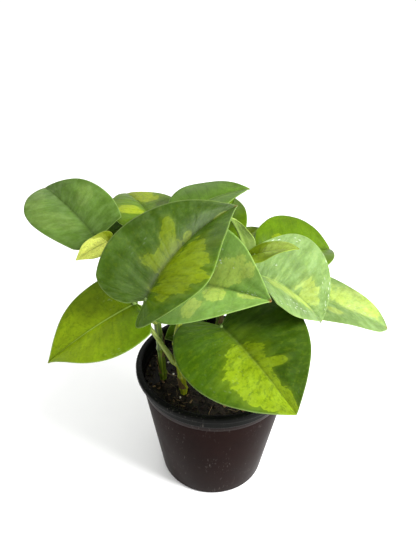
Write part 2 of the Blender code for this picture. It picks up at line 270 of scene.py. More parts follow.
FINISHES = {
    "crown_large": Finish("leaf_deep_green", "deep", "olive", (
        Patch(0.58, 0.08, 0.10, 0.22, ragged=0.4),
        Patch(0.62, 0.36, 0.035, 0.34, ragged=0.4, slant=0.05),
        Patch(0.51, 0.22, 0.035, 0.24, ragged=0.4, slant=-0.05),
        Patch(0.71, 0.10, 0.025, 0.12, ragged=0.3),
        Patch(0.49, -0.44, 0.18, 0.42, ragged=0.4, slant=-0.05),
        Patch(0.90, -0.06, 0.04, 0.28, ragged=0.3),
    ), midrib=0.15, marks=0.05, painted_sheen=0.06, painted_half_light=(0.80, 1.55)),
    "low_left": Finish("leaf_lime", "bright", "lime", (
        Patch(0.86, 0.00, 0.44, 1.50, ragged=0.15),
    ), midrib=0.8, marks=0.1, soft=0.45, painted_half_light=(1.28, 0.95)),
    "far_left": Finish("leaf_grey_green", "shade", "moss", (
        Patch(0.56, 0.55, 0.08, 0.42, ragged=0.3, slant=0.1),
        Patch(0.80, 0.70, 0.14, 0.30, ragged=0.3),
        Patch(0.60, -0.60, 0.05, 0.30, ragged=0.3),
    ), midrib=0.0, soft=0.10, painted_sheen=0.10),
    "far_left_rear": Finish("leaf_deep_green", "deep", "olive", (
        Patch(0.60, 0.20, 0.20, 0.25),
    )),
    "new_pale": Finish("leaf_pale", "yellow", "pale", (
        Patch(0.75, 0.00, 0.35, 1.20, ragged=0.15),
    ), midrib=0.5),
    "back_left": Finish("leaf_lime", "bright", "yellow", (
        Patch(0.53, 0.48, 0.07, 0.34, ragged=0.3),
        Patch(0.84, -0.45, 0.20, 0.50, ragged=0.3),
    ), midrib=0.0),
    "crown_back": Finish("leaf_grey_green", "shade", "moss", (
        Patch(0.72, -0.42, 0.14, 0.18, ragged=0.3),
        Patch(0.99, 0.10, 0.06, 0.90, ragged=0.2),
    ), tip=0.6),
    "back_centre": Finish("leaf_lime", "bright", "olive", (
        Patch(0.55, 0.25, 0.25, 0.25, ragged=0.4),
    )),
    "back_pale": Finish("leaf_pale", "moss", "lime", (
        Patch(0.70, 0.10, 0.30, 0.60, ragged=0.3),
    )),
    "new_rolled": Finish("leaf_lime", "lime", "wan", (
        Patch(0.50, 0.75, 0.25, 0.25, ragged=0.2),
        Patch(0.60, -0.90, 0.30, 0.25, ragged=0.2),
    ), midrib=0.0),
    "crown_front": Finish("leaf_grey_green", "grey", "wan", (
        Patch(0.68, 0.40, 0.085, 0.48, slant=0.10),
        Patch(0.645, -0.22, 0.055, 0.28),
        Patch(0.855, -0.20, 0.065, 0.22),
        Patch(0.57, -0.65, 0.045, 0.22),
    ), midrib=0.3, marks=0.7, tip=1.0, painted_sheen=0.10, painted_half_light=(1.35, 1.40)),
    "front_right": Finish("leaf_deep_green", "deep", "lime", (
        Patch(0.79, -0.44, 0.22, 0.62, ragged=0.28, slant=-0.32),
        Patch(0.80, 0.00, 0.16, 0.20, ragged=0.3),
        Patch(0.70, 0.26, 0.025, 0.30, ragged=0.3),
        Patch(0.97, 0.35, 0.12, 0.70, ragged=0.3, slant=0.12),
    ), midrib=0.1, marks=0.03, tip=0.0, painted_sheen=0.03, painted_half_light=(0.90, 1.10)),
    "right": Finish("leaf_grey_green", "waxy", "wan", (
        Patch(0.77, 0.27, 0.10, 0.28),
        Patch(0.60, -0.32, 0.15, 0.30, slant=-0.25),
        Patch(0.84, -0.20, 0.07, 0.22, slant=-0.20),
    ), midrib=0.3, marks=0.6, soft=0.12, painted_sheen=0.20),
    "back_right": Finish("leaf_lime", "bright", "lime", (
        Patch(0.47, 0.48, 0.04, 0.10, ragged=0.8),
    ), midrib=0.0),
    "young_right": Finish("leaf_lime", "lime", "wan", (
        Patch(0.75, 0.10, 0.26, 0.90, ragged=0.2),
    )),
    "far_right": Finish("leaf_pale", "waxy", "wan", (
        Patch(0.72, 0.48, 0.19, 0.50, ragged=0.3),
        Patch(0.57, -0.45, 0.05, 0.15, ragged=0.3),
    ), midrib=0.3, marks=0.3, tip=0.7, soft=0.12, painted_sheen=0.20),
    "small_inner": Finish("leaf_lime", "deep", "olive", (
        Patch(0.55, 0.00, 0.20, 0.30),
    )),
}


def length_property(name, description, default, **limits):
    return bpy.props.FloatProperty(
        name=name, description=description, default=default, min=0.0, precision=4, unit="LENGTH", **limits
    )


def colour_property(name, description, default):
    return bpy.props.FloatVectorProperty(
        name=name, description=description, default=default, subtype="COLOR", size=3, min=0.0, max=1.0
    )


class PotSettings(bpy.types.PropertyGroup):
    """Sizes and colours of the pot."""

    lip_round: length_property("Lip rounding", "Radius of the rounded edges", 0.0004)
    line_depth: length_property("Line depth", "Depth of the moulded line under the step", 0.00025)
    plastic: colour_property("Plastic", "Colour of the moulded plastic", (0.0068, 0.0021, 0.0015))
    # The rim colour is painted shade: the plastic is drawn darker above the step.
    rim_painted_shade: colour_property("Rim", "Colour of the cleaner plastic at the rim", (0.0035, 0.0038, 0.0032))
    scuffs: colour_property("Scuffs", "Colour of scuffs and dried water", (0.10, 0.09, 0.08))


class SoilSettings(bpy.types.PropertyGroup):
    """How rough the potting mix is, and what lies on it."""

    roughness: length_property("Roughness", "Height of the surface's lumps", 0.0024)
    clods: bpy.props.IntProperty(name="Clods", description="Crumbs on the surface", default=760, min=0)
    chips: bpy.props.IntProperty(name="Bark chips", description="Chips of bark", default=54, min=0)
    fibres: bpy.props.IntProperty(name="Fibres", description="Loose root fibres", default=46, min=0)
    grains: bpy.props.IntProperty(name="Perlite", description="Grains of perlite", default=14, min=0)
    earth: colour_property("Earth", "Colour of the damp mix", (0.0040, 0.0034, 0.0024))
    bark: colour_property("Bark", "Colour of the bark chips", (0.085, 0.052, 0.026))
    fibre: colour_property("Fibre", "Colour of the root fibres", (0.20, 0.14, 0.07))
    perlite: colour_property("Perlite", "Colour of the perlite", (0.62, 0.58, 0.50))
    seed: bpy.props.IntProperty(name="Seed", description="Which scatter is made", default=7)


class StemSettings(bpy.types.PropertyGroup):
    """Colours and details of stems and leaf stalks."""

    node_swelling: bpy.props.FloatProperty(
        name="Node swelling", description="How much a stem is thicker at a node", default=0.28, min=0.0
    )
    groove: bpy.props.FloatProperty(
        name="Stalk groove", description="Depth of a stalk's groove, of its radius", default=0.28, min=0.0
    )
    stem: colour_property("Stem", "Colour of the stems", (0.040, 0.075, 0.003))
    stem_pale: colour_property("Stem streaks", "Colour of a stem's pale streaks", (0.13, 0.19, 0.01))
    stem_yellow: colour_property("Yellow stem", "Colour of the yellower stem's streaks", (0.30, 0.31, 0.01))
    stalk: colour_property("Stalk", "Colour of the leaf stalks", (0.10, 0.15, 0.012))
    stalk_pale: colour_property("Stalk streaks", "Colour of a stalk's pale streaks", (0.22, 0.27, 0.05))
    dry: colour_property("Dry sheath", "Colour of the dried sheaths", (0.13, 0.085, 0.025))


class LeafSettings(bpy.types.PropertyGroup):
    """Thickness, veins and colours of the blades."""

    thickness: length_property("Thickness", "Thickness of a blade at its midrib's base", 0.0016)
    thin: bpy.props.FloatProperty(
        name="Thin share", description="Thickness off the midrib, of that", default=0.28, min=0.0, max=1.0
    )
    groove: length_property("Midrib groove", "Depth of the groove over the midrib", 0.00045)
    quilting: length_property("Quilting", "Height of the blade between side veins", 0.00007)
    swell: length_property("Swell", "Height of the blade's slow waves", 0.0009)
    side_veins: bpy.props.IntProperty(name="Side veins", description="Veins on each half", default=13, min=1)
    deep: colour_property("Deep green", "Darkest ground colour", (0.029, 0.064, 0.001))
    shade: colour_property("Shaded green", "Ground colour of the older leaves", (0.060, 0.118, 0.012))
    # Grey green holds a painted sheen's greyness in the leaf's own green.
    grey: colour_property("Grey green", "Waxy ground colour", (0.110, 0.200, 0.035))
    bright: colour_property("Bright green", "Ground colour of the young leaves", (0.062, 0.120, 0.001))
    moss: colour_property("Moss green", "Soft patches", (0.085, 0.145, 0.022))
    olive: colour_property("Olive", "Patches on deep green", (0.105, 0.150, 0.001))
    lime: colour_property("Lime", "Patches", (0.138, 0.205, 0.003))
    yellow: colour_property("Yellow green", "Patches lit from behind", (0.180, 0.235, 0.001))
    # Waxy green and wan lime are the leaf's greens paled by a painted sheen.
    waxy: colour_property("Waxy green", "Ground colour under a waxy bloom", (0.110, 0.185, 0.045))
    wan: colour_property("Wan lime", "Patches under a waxy bloom", (0.235, 0.310, 0.055))
    # Pale lime is the new leaf's own pale colour, lightened further as painted light where the leaf above
    # shades it.
    pale: colour_property("Pale lime", "The palest leaves", (0.640, 0.700, 0.130))


class StageSettings(bpy.types.PropertyGroup):
    """The floor, the lights and the camera."""

    floor: colour_property("Floor", "Colour of the floor", (0.97, 0.97, 0.97))
    sky: bpy.props.FloatProperty(name="Sky", description="Strength of the even light", default=1.05, min=0.0)
    key: bpy.props.FloatProperty(
        name="Key light", description="Power of the large soft light", default=26.0, min=0.0, unit="POWER"
    )
    rim: bpy.props.FloatProperty(
        name="Rim light", description="Power of the light behind", default=2.0, min=0.0, unit="POWER"
    )
    lens: bpy.props.FloatProperty(name="Lens", description="Focal length", default=36.32, unit="CAMERA")
    roll: bpy.props.FloatProperty(
        name="Roll", description="The camera's roll", default=math.radians(1.4), subtype="ANGLE"
    )


# ---------------------------------------------------------------- node trees


class Nodes:
    """Adds nodes to a tree, and feeds each from values or from the outputs of other nodes."""

    def __init__(self, tree):
        self.tree = tree

    def place(self, node):
        count = len(self.tree.nodes)
        node.location = (200 * (count // 5), -260 * (count % 5))
        return node

    def feed(self, node, inputs):
        for key, value in inputs.items():
            socket = node.inputs[key]
            if isinstance(value, bpy.types.NodeSocket):
                self.tree.links.new(value, socket)
            else:
                socket.default_value = value

    def add(self, kind, inputs, output=0, **settings):
        node = self.place(self.tree.nodes.new("ShaderNode" + kind))
        for key, value in settings.items():
            setattr(node, key, value)
        self.feed(node, inputs)
        return node.outputs[output]

    def math(self, operation, *values):
        return self.add("Math", dict(enumerate(values)), operation=operation)

    def vector(self, operation, *values):
        return self.add("VectorMath", dict(enumerate(values)), operation=operation)

    def scaled(self, vector, factor):
        return self.add("VectorMath", {"Vector": vector, "Scale": factor}, operation="SCALE")

    def mix(self, factor, a, b):
        return self.add("Mix", {0: factor, 6: a, 7: b}, output=2, data_type="RGBA")

    def step(self, value, start, end, low=0.0, high=1.0):
        """low where value is at start and high where it is at end, with a smooth change between."""
        inputs = {"Value": value, "From Min": start, "From Max": end, "To Min": low, "To Max": high}
        return self.add("MapRange", inputs, interpolation_type="SMOOTHSTEP")

    def noise(self, vector, scale, detail=2.0, roughness=0.5, distortion=0.0):
        inputs = {
            "Vector": vector,
            "Scale": scale,
            "Detail": detail,
            "Roughness": roughness,
            "Distortion": distortion,
        }
        return self.add("TexNoise", inputs)

    def stretched(self, vector, stretch, detail=2.0, roughness=0.5):
        """Noise whose grain is finer along an axis the larger its stretch is."""
        return self.noise(self.vector("MULTIPLY", vector, stretch), 1.0, detail, roughness)

    def split(self, vector):
        """The X, Y and Z of a vector."""
        parts = self.tree.nodes.new("ShaderNodeSeparateXYZ")
        self.tree.links.new(vector, parts.inputs[0])
        return parts.outputs

    def group(self, group, inputs):
        node = self.place(self.tree.nodes.new("ShaderNodeGroup"))
        node.node_tree = group
        self.feed(node, inputs)
        return node.outputs


def new_group(name, inputs, outputs):
    """A node group with its sockets, given as (name, kind, default), and what its inner nodes read."""
    group = bpy.data.node_groups.new(name, "ShaderNodeTree")
    for label, kind, default in inputs:
        socket = group.interface.new_socket(name=label, in_out="INPUT", socket_type="NodeSocket" + kind)
        if default is not None:
            socket.default_value = default
    for label, kind in outputs:
        group.interface.new_socket(name=label, in_out="OUTPUT", socket_type="NodeSocket" + kind)
    nodes = Nodes(group)
    return group, nodes, nodes.place(group.nodes.new("NodeGroupInput")).outputs


def close_group(nodes, outputs):
    nodes.feed(nodes.place(nodes.tree.nodes.new("NodeGroupOutput")), outputs)


# Colours that every blade shares.
MIDRIB_GREEN = (0.24, 0.36, 0.06, 1.0)
# The veil colour is a painted sheen, laid in streaks over the blades.
PAINTED_SHEEN = (0.34, 0.46, 0.22, 1.0)
PALE_MARGIN = (0.34, 0.46, 0.14, 1.0)
WATER_MARK = (0.62, 0.66, 0.58, 1.0)
DRY_TIP = (0.20, 0.10, 0.03, 1.0)
PALE_UNDERSIDE = (0.26, 0.38, 0.13, 1.0)


def ragged_patch_group():
    """How far a point is inside a patch whose edge breaks up along the side veins. Above 0 is inside."""
    group, nodes, given = new_group(
        "ragged_patch",
        (
            ("Veins", "Vector", None),
            ("Place", "Float", 0.5),
            ("Across", "Float", 0.0),
            ("Half Place", "Float", 0.2),
            ("Half Across", "Float", 0.3),
            ("Slant", "Float", 0.0),
            ("Ragged", "Float", 0.5),
            ("Seed", "Float", 0.0),
        ),
        (("Inside", "Float"),),
    )
    along, aside, _ = nodes.split(given["Veins"])
    across = nodes.math("SUBTRACT", aside, given["Across"])
    leaning = nodes.math("MULTIPLY", across, given["Slant"])
    place = nodes.math("SUBTRACT", nodes.math("SUBTRACT", along, given["Place"]), leaning)
    x = nodes.math("DIVIDE", place, given["Half Place"])
    y = nodes.math("DIVIDE", across, given["Half Across"])
    reach = nodes.math("SQRT", nodes.math("ADD", nodes.math("POWER", x, 2.0), nodes.math("POWER", y, 2.0)))
    shift = nodes.add("CombineXYZ", {"Z": given["Seed"]})
    broken = 0.0
    for stretch, amount in (((6.0, 2.4, 1.0), 1.6), ((21.0, 1.7, 1.0), 3.2), ((80.0, 15.0, 1.0), 0.7)):
        spot = nodes.vector("ADD", nodes.vector("MULTIPLY", given["Veins"], stretch), shift)
        wander = nodes.math("SUBTRACT", nodes.noise(spot, 1.0, 2.0, 0.5), 0.5)
        broken = nodes.math("MULTIPLY_ADD", wander, amount, broken)
    inside = nodes.math("MULTIPLY_ADD", broken, given["Ragged"], nodes.math("SUBTRACT", 1.0, reach))
    close_group(nodes, {"Inside": inside})
    return group


def leaf_surface_group():
    """Colour, roughness and height of a blade from where a point is on it and how far inside a patch, with a
    painted sheen and each half painted lighter or darker.
    """
    group, nodes, given = new_group(
        "leaf_surface",
        (
            ("Veins", "Vector", None),
            ("Inside", "Float", -1.0),
            ("From Margin", "Float", 0.01),
            ("Underside", "Float", 0.0),
            ("Ground", "Color", (0.1, 0.2, 0.02, 1.0)),
            ("Patch", "Color", (0.3, 0.5, 0.02, 1.0)),
            ("Midrib", "Float", 0.3),
            ("Marks", "Float", 0.0),
            ("Tip", "Float", 0.3),
            ("Soft", "Float", 0.05),
            ("Painted Sheen", "Float", 0.0),
            ("Left", "Float", 1.0),
            ("Right", "Float", 1.0),
            ("Side Veins", "Float", 13.0),
            ("Seed", "Float", 0.0),
        ),
        (("Color", "Color"), ("Roughness", "Float"), ("Height", "Float")),
    )
    place, across, _ = nodes.split(given["Veins"])
    aside = nodes.math("ABSOLUTE", across)
    shift = nodes.add("CombineXYZ", {"Z": given["Seed"]})
    moved = nodes.vector("ADD", given["Veins"], shift)
    clouds = nodes.stretched(moved, (5.0, 1.6, 1.0), 3.0, 0.55)
    mottle = nodes.stretched(moved, (70.0, 26.0, 1.0), 4.0, 0.65)
    wander = nodes.math("MULTIPLY", nodes.stretched(moved, (6.0, 3.0, 1.0)), 0.5)

    # The second colour, with a soft edge of middling green outside it and flecks of each in the other.
    crisp = nodes.step(given["Inside"], nodes.math("MULTIPLY", given["Soft"], -1.0), given["Soft"])
    halo = nodes.step(given["Inside"], -0.45, 0.02, 0.0, 0.28)
    flecks = nodes.stretched(moved, (62.0, 9.0, 1.0), 3.0, 0.6)
    green = nodes.math("MULTIPLY", nodes.step(flecks, 0.48, 0.68), 0.45)
    light = nodes.math("MULTIPLY", nodes.step(flecks, 0.52, 0.32), 0.16)
    share = nodes.math("MULTIPLY", crisp, nodes.math("SUBTRACT", 1.0, green))
    share = nodes.math("MAXIMUM", share, nodes.math("MAXIMUM", halo, light))
    colour = nodes.mix(share, given["Ground"], given["Patch"])
    tone = nodes.math("MULTIPLY_ADD", clouds, 1.20, 0.38)
    tone = nodes.math("MULTIPLY", tone, nodes.math("MULTIPLY_ADD", mottle, 0.60, 0.70))
    colour = nodes.scaled(colour, tone)

    # Side veins leave the midrib at even steps, wander a little and fade out before the margin.
    turns = nodes.math("FRACT", nodes.math("MULTIPLY_ADD", place, given["Side Veins"], wander))
    ridge = nodes.math("ABSOLUTE", nodes.math("MULTIPLY_ADD", turns, 2.0, -1.0))
    fade = nodes.math("MULTIPLY", nodes.step(aside, 0.0, 0.05), nodes.step(aside, 1.0, 0.55))
    side_vein = nodes.math("MULTIPLY", nodes.step(ridge, 0.80, 1.0), fade)
    colour = nodes.scaled(colour, nodes.math("MULTIPLY_ADD", side_vein, -0.09, 1.0))
    # Painted shade: the colour is darkened in a band along the midrib's groove, around the paler rib line.
    rib = nodes.step(aside, 0.030, 0.008)
    midrib_shade = nodes.step(aside, 0.08, 0.015, 0.0, 0.20)
    colour = nodes.scaled(colour, nodes.math("SUBTRACT", 1.0, midrib_shade))
    colour = nodes.mix(nodes.math("MULTIPLY", rib, given["Midrib"]), colour, MIDRIB_GREEN)

    # Painted light: one half may be painted lighter or darker than the other, for how the light falls on it,
    # and a painted sheen lies in streaks along the side veins.
    left = nodes.step(across, -0.02, 0.02)
    right = nodes.math("MULTIPLY", nodes.math("SUBTRACT", 1.0, left), given["Right"])
    colour = nodes.scaled(colour, nodes.math("MULTIPLY_ADD", left, given["Left"], right))
    streaky = nodes.stretched(moved, (30.0, 3.0, 1.0), 4.0, 0.6)
    colour = nodes.scaled(colour, nodes.math("MULTIPLY_ADD", streaky, 0.50, 0.75))
    painted_sheen_mask = nodes.math("MULTIPLY", nodes.step(streaky, 0.35, 0.72, 0.10, 1.0), given["Painted Sheen"])
    colour = nodes.mix(painted_sheen_mask, colour, PAINTED_SHEEN)

    # A thin pale margin, dried water marks and a dry tip.
    edge = nodes.step(given["From Margin"], 0.8 * MM, 0.1 * MM, 0.0, 0.20)
    colour = nodes.mix(edge, colour, PALE_MARGIN)
    spots = nodes.vector("MULTIPLY", moved, (34.0, 17.0, 1.0))
    specks = nodes.add("TexVoronoi", {"Vector": spots, "Scale": 1.0})
    where = nodes.step(nodes.stretched(moved, (4.0, 2.5, 1.0), 3.0), 0.50, 0.72)
    marks = nodes.math("MULTIPLY", nodes.step(specks, 0.30, 0.12), where)
    marks = nodes.math("MULTIPLY", marks, given["Marks"])
    colour = nodes.mix(marks, colour, WATER_MARK)
    dry = nodes.math("MULTIPLY", nodes.step(place, 0.965, 0.995), given["Tip"])
    colour = nodes.mix(dry, colour, DRY_TIP)

    # The underside is paler and duller, with the same patches.
    shade = nodes.mix(0.45, colour, PALE_UNDERSIDE)
    colour = nodes.mix(given["Underside"], colour, shade)
    rough = nodes.math("MULTIPLY_ADD", clouds, 0.18, 0.30)
    rough = nodes.math("MULTIPLY_ADD", marks, 0.30, rough)
    rough = nodes.math("MULTIPLY_ADD", given["Underside"], 0.18, rough)
    height = nodes.math("MULTIPLY_ADD", side_vein, -0.35, nodes.math("MULTIPLY", mottle, 0.40))
    height = nodes.math("MULTIPLY_ADD", rib, -0.60, height)
    height = nodes.math("MULTIPLY_ADD", marks, 0.25, height)
    close_group(nodes, {"Color": colour, "Roughness": rough, "Height": height})
    return group


def streaks_group():
    """Streaks along a stem or a stalk, from its UV map, with u along it and v round it."""
    group, nodes, given = new_group(
        "plant_streaks",
        (("Along", "Vector", None), ("Length", "Float", 8.0), ("Seed", "Float", 0.0)),
        (("Streak", "Float"), ("Grain", "Float")),
    )
    along, around, _ = nodes.split(given["Along"])
    turn = nodes.math("MULTIPLY", around, 2 * math.pi)
    ring = {
        "X": nodes.math("MULTIPLY", nodes.math("COSINE", turn), 2.2),
        "Y": nodes.math("MULTIPLY", nodes.math("SINE", turn), 2.2),
        "Z": nodes.math("MULTIPLY_ADD", along, given["Length"], given["Seed"]),
    }
    place = nodes.add("CombineXYZ", ring)
    streak = nodes.step(nodes.stretched(place, (1.6, 1.6, 0.5), 3.0), 0.40, 0.64)
    grain = nodes.stretched(place, (7.0, 7.0, 5.0), 4.0, 0.65)
    close_group(nodes, {"Streak": streak, "Grain": grain})
    return group


def wear_group():
    """Scuffs, drips of dried water and fine grain, from the piece's own coordinates."""
    group, nodes, given = new_group(
        "plastic_wear",
        (("Place", "Vector", None), ("Amount", "Float", 1.0)),
        (("Scuffs", "Float"), ("Film", "Float"), ("Height", "Float")),
    )
    patchy = nodes.step(nodes.noise(given["Place"], 42.0, 3.0, 0.6), 0.44, 0.64)
    strokes = nodes.vector("MULTIPLY", given["Place"], (1.0, 1.0, 0.16))
    lines = nodes.step(nodes.noise(strokes, 900.0, 2.0, 0.5), 0.62, 0.72)
    specks = nodes.step(nodes.noise(given["Place"], 620.0, 2.0, 0.5), 0.66, 0.73)
    scuffs = nodes.math("MULTIPLY", nodes.math("MAXIMUM", lines, specks), patchy)
    scuffs = nodes.math("MULTIPLY", scuffs, given["Amount"])
    film = nodes.math("MULTIPLY", nodes.noise(given["Place"], 55.0, 5.0, 0.6), given["Amount"])
    height = nodes.math("MULTIPLY_ADD", scuffs, -0.4, nodes.noise(given["Place"], 1500.0, 2.0))
    close_group(nodes, {"Scuffs": scuffs, "Film": film, "Height": height})
    return group


def crumb_group():
    """Damp crumbs: light and dark grains at three sizes."""
    group, nodes, given = new_group(
        "earth_crumbs",
        (("Place", "Vector", None), ("Scale", "Float", 1.0)),
        (("Light", "Float"), ("Damp", "Float"), ("Height", "Float")),
    )
    place = nodes.scaled(given["Place"], given["Scale"])
    coarse = nodes.noise(place, 240.0, 5.0, 0.7)
    fine = nodes.noise(place, 1300.0, 3.0, 0.6)
    light = nodes.step(nodes.math("MULTIPLY_ADD", fine, 0.5, nodes.math("MULTIPLY", coarse, 0.6)), 0.48, 0.72)
    damp = nodes.step(nodes.noise(place, 70.0, 3.0), 0.40, 0.62)
    height = nodes.math("MULTIPLY_ADD", coarse, 0.6, nodes.math("MULTIPLY", fine, 0.4))
    close_group(nodes, {"Light": light, "Damp": damp, "Height": height})
    return group


GROUP_MAKERS = {
    "ragged_patch": ragged_patch_group,
    "leaf_surface": leaf_surface_group,
    "plant_streaks": streaks_group,
    "plastic_wear": wear_group,
    "earth_crumbs": crumb_group,
}


def group_named(name):
    """The node group of that name, which is built the first time that it is asked for."""
    return bpy.data.node_groups.get(name) or GROUP_MAKERS[name]()


# ---------------------------------------------------------------- materials


def new_material(name, **shader_values):
    """A new material, its nodes and its shader, with the values that are the same all over."""
    material = bpy.data.materials.new(name)
    material.use_nodes = True
    shader = material.node_tree.nodes["Principled BSDF"]
    shader.location = (1600, 0)
    material.node_tree.nodes["Material Output"].location = (1900, 0)
    for label, value in shader_values.items():
        shader.inputs[label.replace("_", " ")].default_value = value
    return material, Nodes(material.node_tree), shader


def link_surface(nodes, shader, colour, roughness, height, distance, strength=0.6):
    """Feeds the shader with a colour, a roughness and a bump of that height in metres."""
    bump = nodes.add("Bump", {"Strength": strength, "Distance": distance, "Height": height})
    nodes.feed(shader, {"Base Color": colour, "Roughness": roughness, "Normal": bump})


def rgba(colour):
    return (*colour, 1.0)


def leaf_material(leaf, finish, colours, seed):
    """A blade's finish: the shared surface group, with this leaf's colours and patches."""
    material, nodes, shader = new_material(
        "blade_" + leaf.name,
        Specular_IOR_Level=0.06,
        Subsurface_Weight=0.10,
        Subsurface_Radius=(0.6, 1.0, 0.15),
        Subsurface_Scale=0.0012,
    )
    flat = nodes.add("UVMap", {}, uv_map="veins")
    stretched = nodes.vector("MULTIPLY_ADD", flat, (1.0, 2.0, 1.0), (0.0, -1.0, 0.0))
    inside = None
    for k, patch in enumerate(finish.patches):
        inputs = {
            "Veins": stretched,
            "Place": patch.place,
            "Across": patch.across,
            "Half Place": patch.half_place,
            "Half Across": patch.half_across,
            "Slant": patch.slant,
            "Ragged": patch.ragged,
            "Seed": seed + 3.1 * k,
        }
        found = nodes.group(group_named("ragged_patch"), inputs)["Inside"]
        inside = found if inside is None else nodes.math("MAXIMUM", inside, found)
    inputs = {
        "Veins": stretched,
        "Inside": inside,
        "From Margin": nodes.add("Attribute", {}, output="Fac", attribute_name="from_margin"),
        "Underside": nodes.add("Attribute", {}, output="Fac", attribute_name="underside"),
        "Ground": rgba(getattr(colours, finish.ground)),
        "Patch": rgba(getattr(colours, finish.patch)),
        "Midrib": finish.midrib,
        "Marks": finish.marks,
        "Tip": finish.tip,
        "Soft": finish.soft,
        # Painted light: the strength of a painted sheen, and how much lighter or darker each half is painted.
        "Painted Sheen": finish.painted_sheen,
        "Left": finish.painted_half_light[0],
        "Right": finish.painted_half_light[1],
        "Side Veins": float(colours.side_veins),
        "Seed": seed,
    }
    surface = nodes.group(group_named("leaf_surface"), inputs)
    link_surface(nodes, shader, surface["Color"], surface["Roughness"], surface["Height"], 0.25 * MM)
    return material


def streaked_material(name, dark, pale, length, roughness):
    """Green bark or rind with pale streaks along it."""
    material, nodes, shader = new_material(
        name,
        Specular_IOR_Level=0.3,
        Subsurface_Weight=0.10,
        Subsurface_Radius=(0.6, 1.0, 0.2),
        Subsurface_Scale=0.001,
    )
    along = nodes.add("UVMap", {}, uv_map="along")
    streaks = nodes.group(group_named("plant_streaks"), {"Along": along, "Length": length})
    tone = nodes.math("MULTIPLY_ADD", streaks["Grain"], 0.7, 0.65)
    colour = nodes.scaled(nodes.mix(streaks["Streak"], rgba(dark), rgba(pale)), tone)
    rough = nodes.math("MULTIPLY_ADD", streaks["Grain"], 0.25, roughness - 0.12)
    link_surface(nodes, shader, colour, rough, streaks["Grain"], 0.2 * MM, 0.5)
    return material


def plastic_material(settings):
    """Thin black-brown plastic, painted darker above the step as painted shade, with scuffs and dried water
    below.
    """
    material, nodes, shader = new_material("pot_plastic", Specular_IOR_Level=0.03)
    place = nodes.add("TexCoord", {}, output="Object")
    height = nodes.add("SeparateXYZ", {"Vector": place}, output=2)
    wear = nodes.group(group_named("plastic_wear"), {"Place": place, "Amount": 1.0})
    # Painted shade: the plastic is drawn in the darker rim colour above the step.
    upper = nodes.step(height, POT_HEIGHT - STEP_DEPTH - 2 * MM, POT_HEIGHT - STEP_DEPTH + 1 * MM)
    plastic = nodes.mix(upper, rgba(settings.plastic), rgba(settings.rim_painted_shade))
    cloudy = nodes.scaled(plastic, nodes.math("MULTIPLY_ADD", wear["Film"], 0.9, 0.55))
    colour = nodes.mix(nodes.math("MULTIPLY", wear["Scuffs"], 0.55), cloudy, rgba(settings.scuffs))
    rough = nodes.math("MULTIPLY_ADD", wear["Film"], 0.22, 0.26)
    rough = nodes.math("MULTIPLY_ADD", wear["Scuffs"], 0.25, rough)
    link_surface(nodes, shader, colour, rough, wear["Height"], 0.05 * MM, 0.35)
    return material


LIGHT_CRUMBS = {
    "damp_earth": (0.05, 0.035, 0.022),
    "clod_earth": (0.075, 0.050, 0.030),
    "bark": (0.34, 0.22, 0.12),
    "perlite": (0.75, 0.72, 0.66),
}


def crumb_material(name, colour, scale=1.0, roughness=0.92):
    """Earth, bark or perlite: one colour broken up by lighter crumbs and damp places."""
    material, nodes, shader = new_material(name, Specular_IOR_Level=0.15)
    place = nodes.add("TexCoord", {}, output="Object")
    crumbs = nodes.group(group_named("earth_crumbs"), {"Place": place, "Scale": scale})
    mixed = nodes.mix(nodes.math("MULTIPLY", crumbs["Light"], 0.7), rgba(colour), rgba(LIGHT_CRUMBS[name]))
    mixed = nodes.scaled(mixed, nodes.math("MULTIPLY_ADD", crumbs["Damp"], 0.5, 0.6))
    rough = nodes.math("MULTIPLY_ADD", crumbs["Damp"], 0.25, roughness - 0.25)
    link_surface(nodes, shader, mixed, rough, crumbs["Height"], 0.5 * MM, 0.8)
    return material


def floor_material(colour):
    material, nodes, shader = new_material("floor_paper", Specular_IOR_Level=0.2)
    place = nodes.add("TexCoord", {}, output="Object")
    grain = nodes.noise(place, 60.0, 3.0)
    tint = nodes.scaled(rgba(colour)[:3], nodes.math("MULTIPLY_ADD", grain, 0.03, 0.985))
    nodes.feed(shader, {"Base Color": tint, "Roughness": nodes.math("MULTIPLY_ADD", grain, 0.1, 0.75)})
    return material


# ---------------------------------------------------------------- shaping helpers


def deselect_all():
    if bpy.context.object and bpy.context.object.mode != "OBJECT":
        bpy.ops.object.mode_set(mode="OBJECT")
    bpy.ops.object.select_all(action="DESELECT")


def activate(piece):
    deselect_all()
    piece.select_set(True)
    bpy.context.view_layer.objects.active = piece


def edit_all(piece):
    activate(piece)
    bpy.ops.object.mode_set(mode="EDIT")
    bpy.ops.mesh.select_all(action="SELECT")


def leave_edit():
    bpy.ops.object.mode_set(mode="OBJECT")


def apply_modifier(piece, kind, **settings):
    activate(piece)
    modifier = piece.modifiers.new(kind.lower(), kind)
    for key, value in settings.items():
        setattr(modifier, key, value)
    bpy.ops.object.modifier_apply(modifier=modifier.name)


def shaped_grid(name, rows, columns, shape, uv_name):
    """A grid bent to shape(u, v), with u and v from 0 to 1 kept as its UV map."""
    deselect_all()
    bpy.ops.mesh.primitive_grid_add(x_subdivisions=rows, y_subdivisions=columns, size=1.0)
    piece = bpy.context.object
    piece.name = piece.data.name = name
    piece.data.uv_layers[0].name = uv_name
    for vertex in piece.data.vertices:
        vertex.co = shape(vertex.co.x + 0.5, vertex.co.y + 0.5)
    return piece


def close_seams(piece, distance=1e-6):
    """Merges the vertices that meet, and turns the faces outwards."""
    edit_all(piece)
    bpy.ops.mesh.remove_doubles(threshold=distance)
    bpy.ops.mesh.normals_make_consistent(inside=False)
    leave_edit()


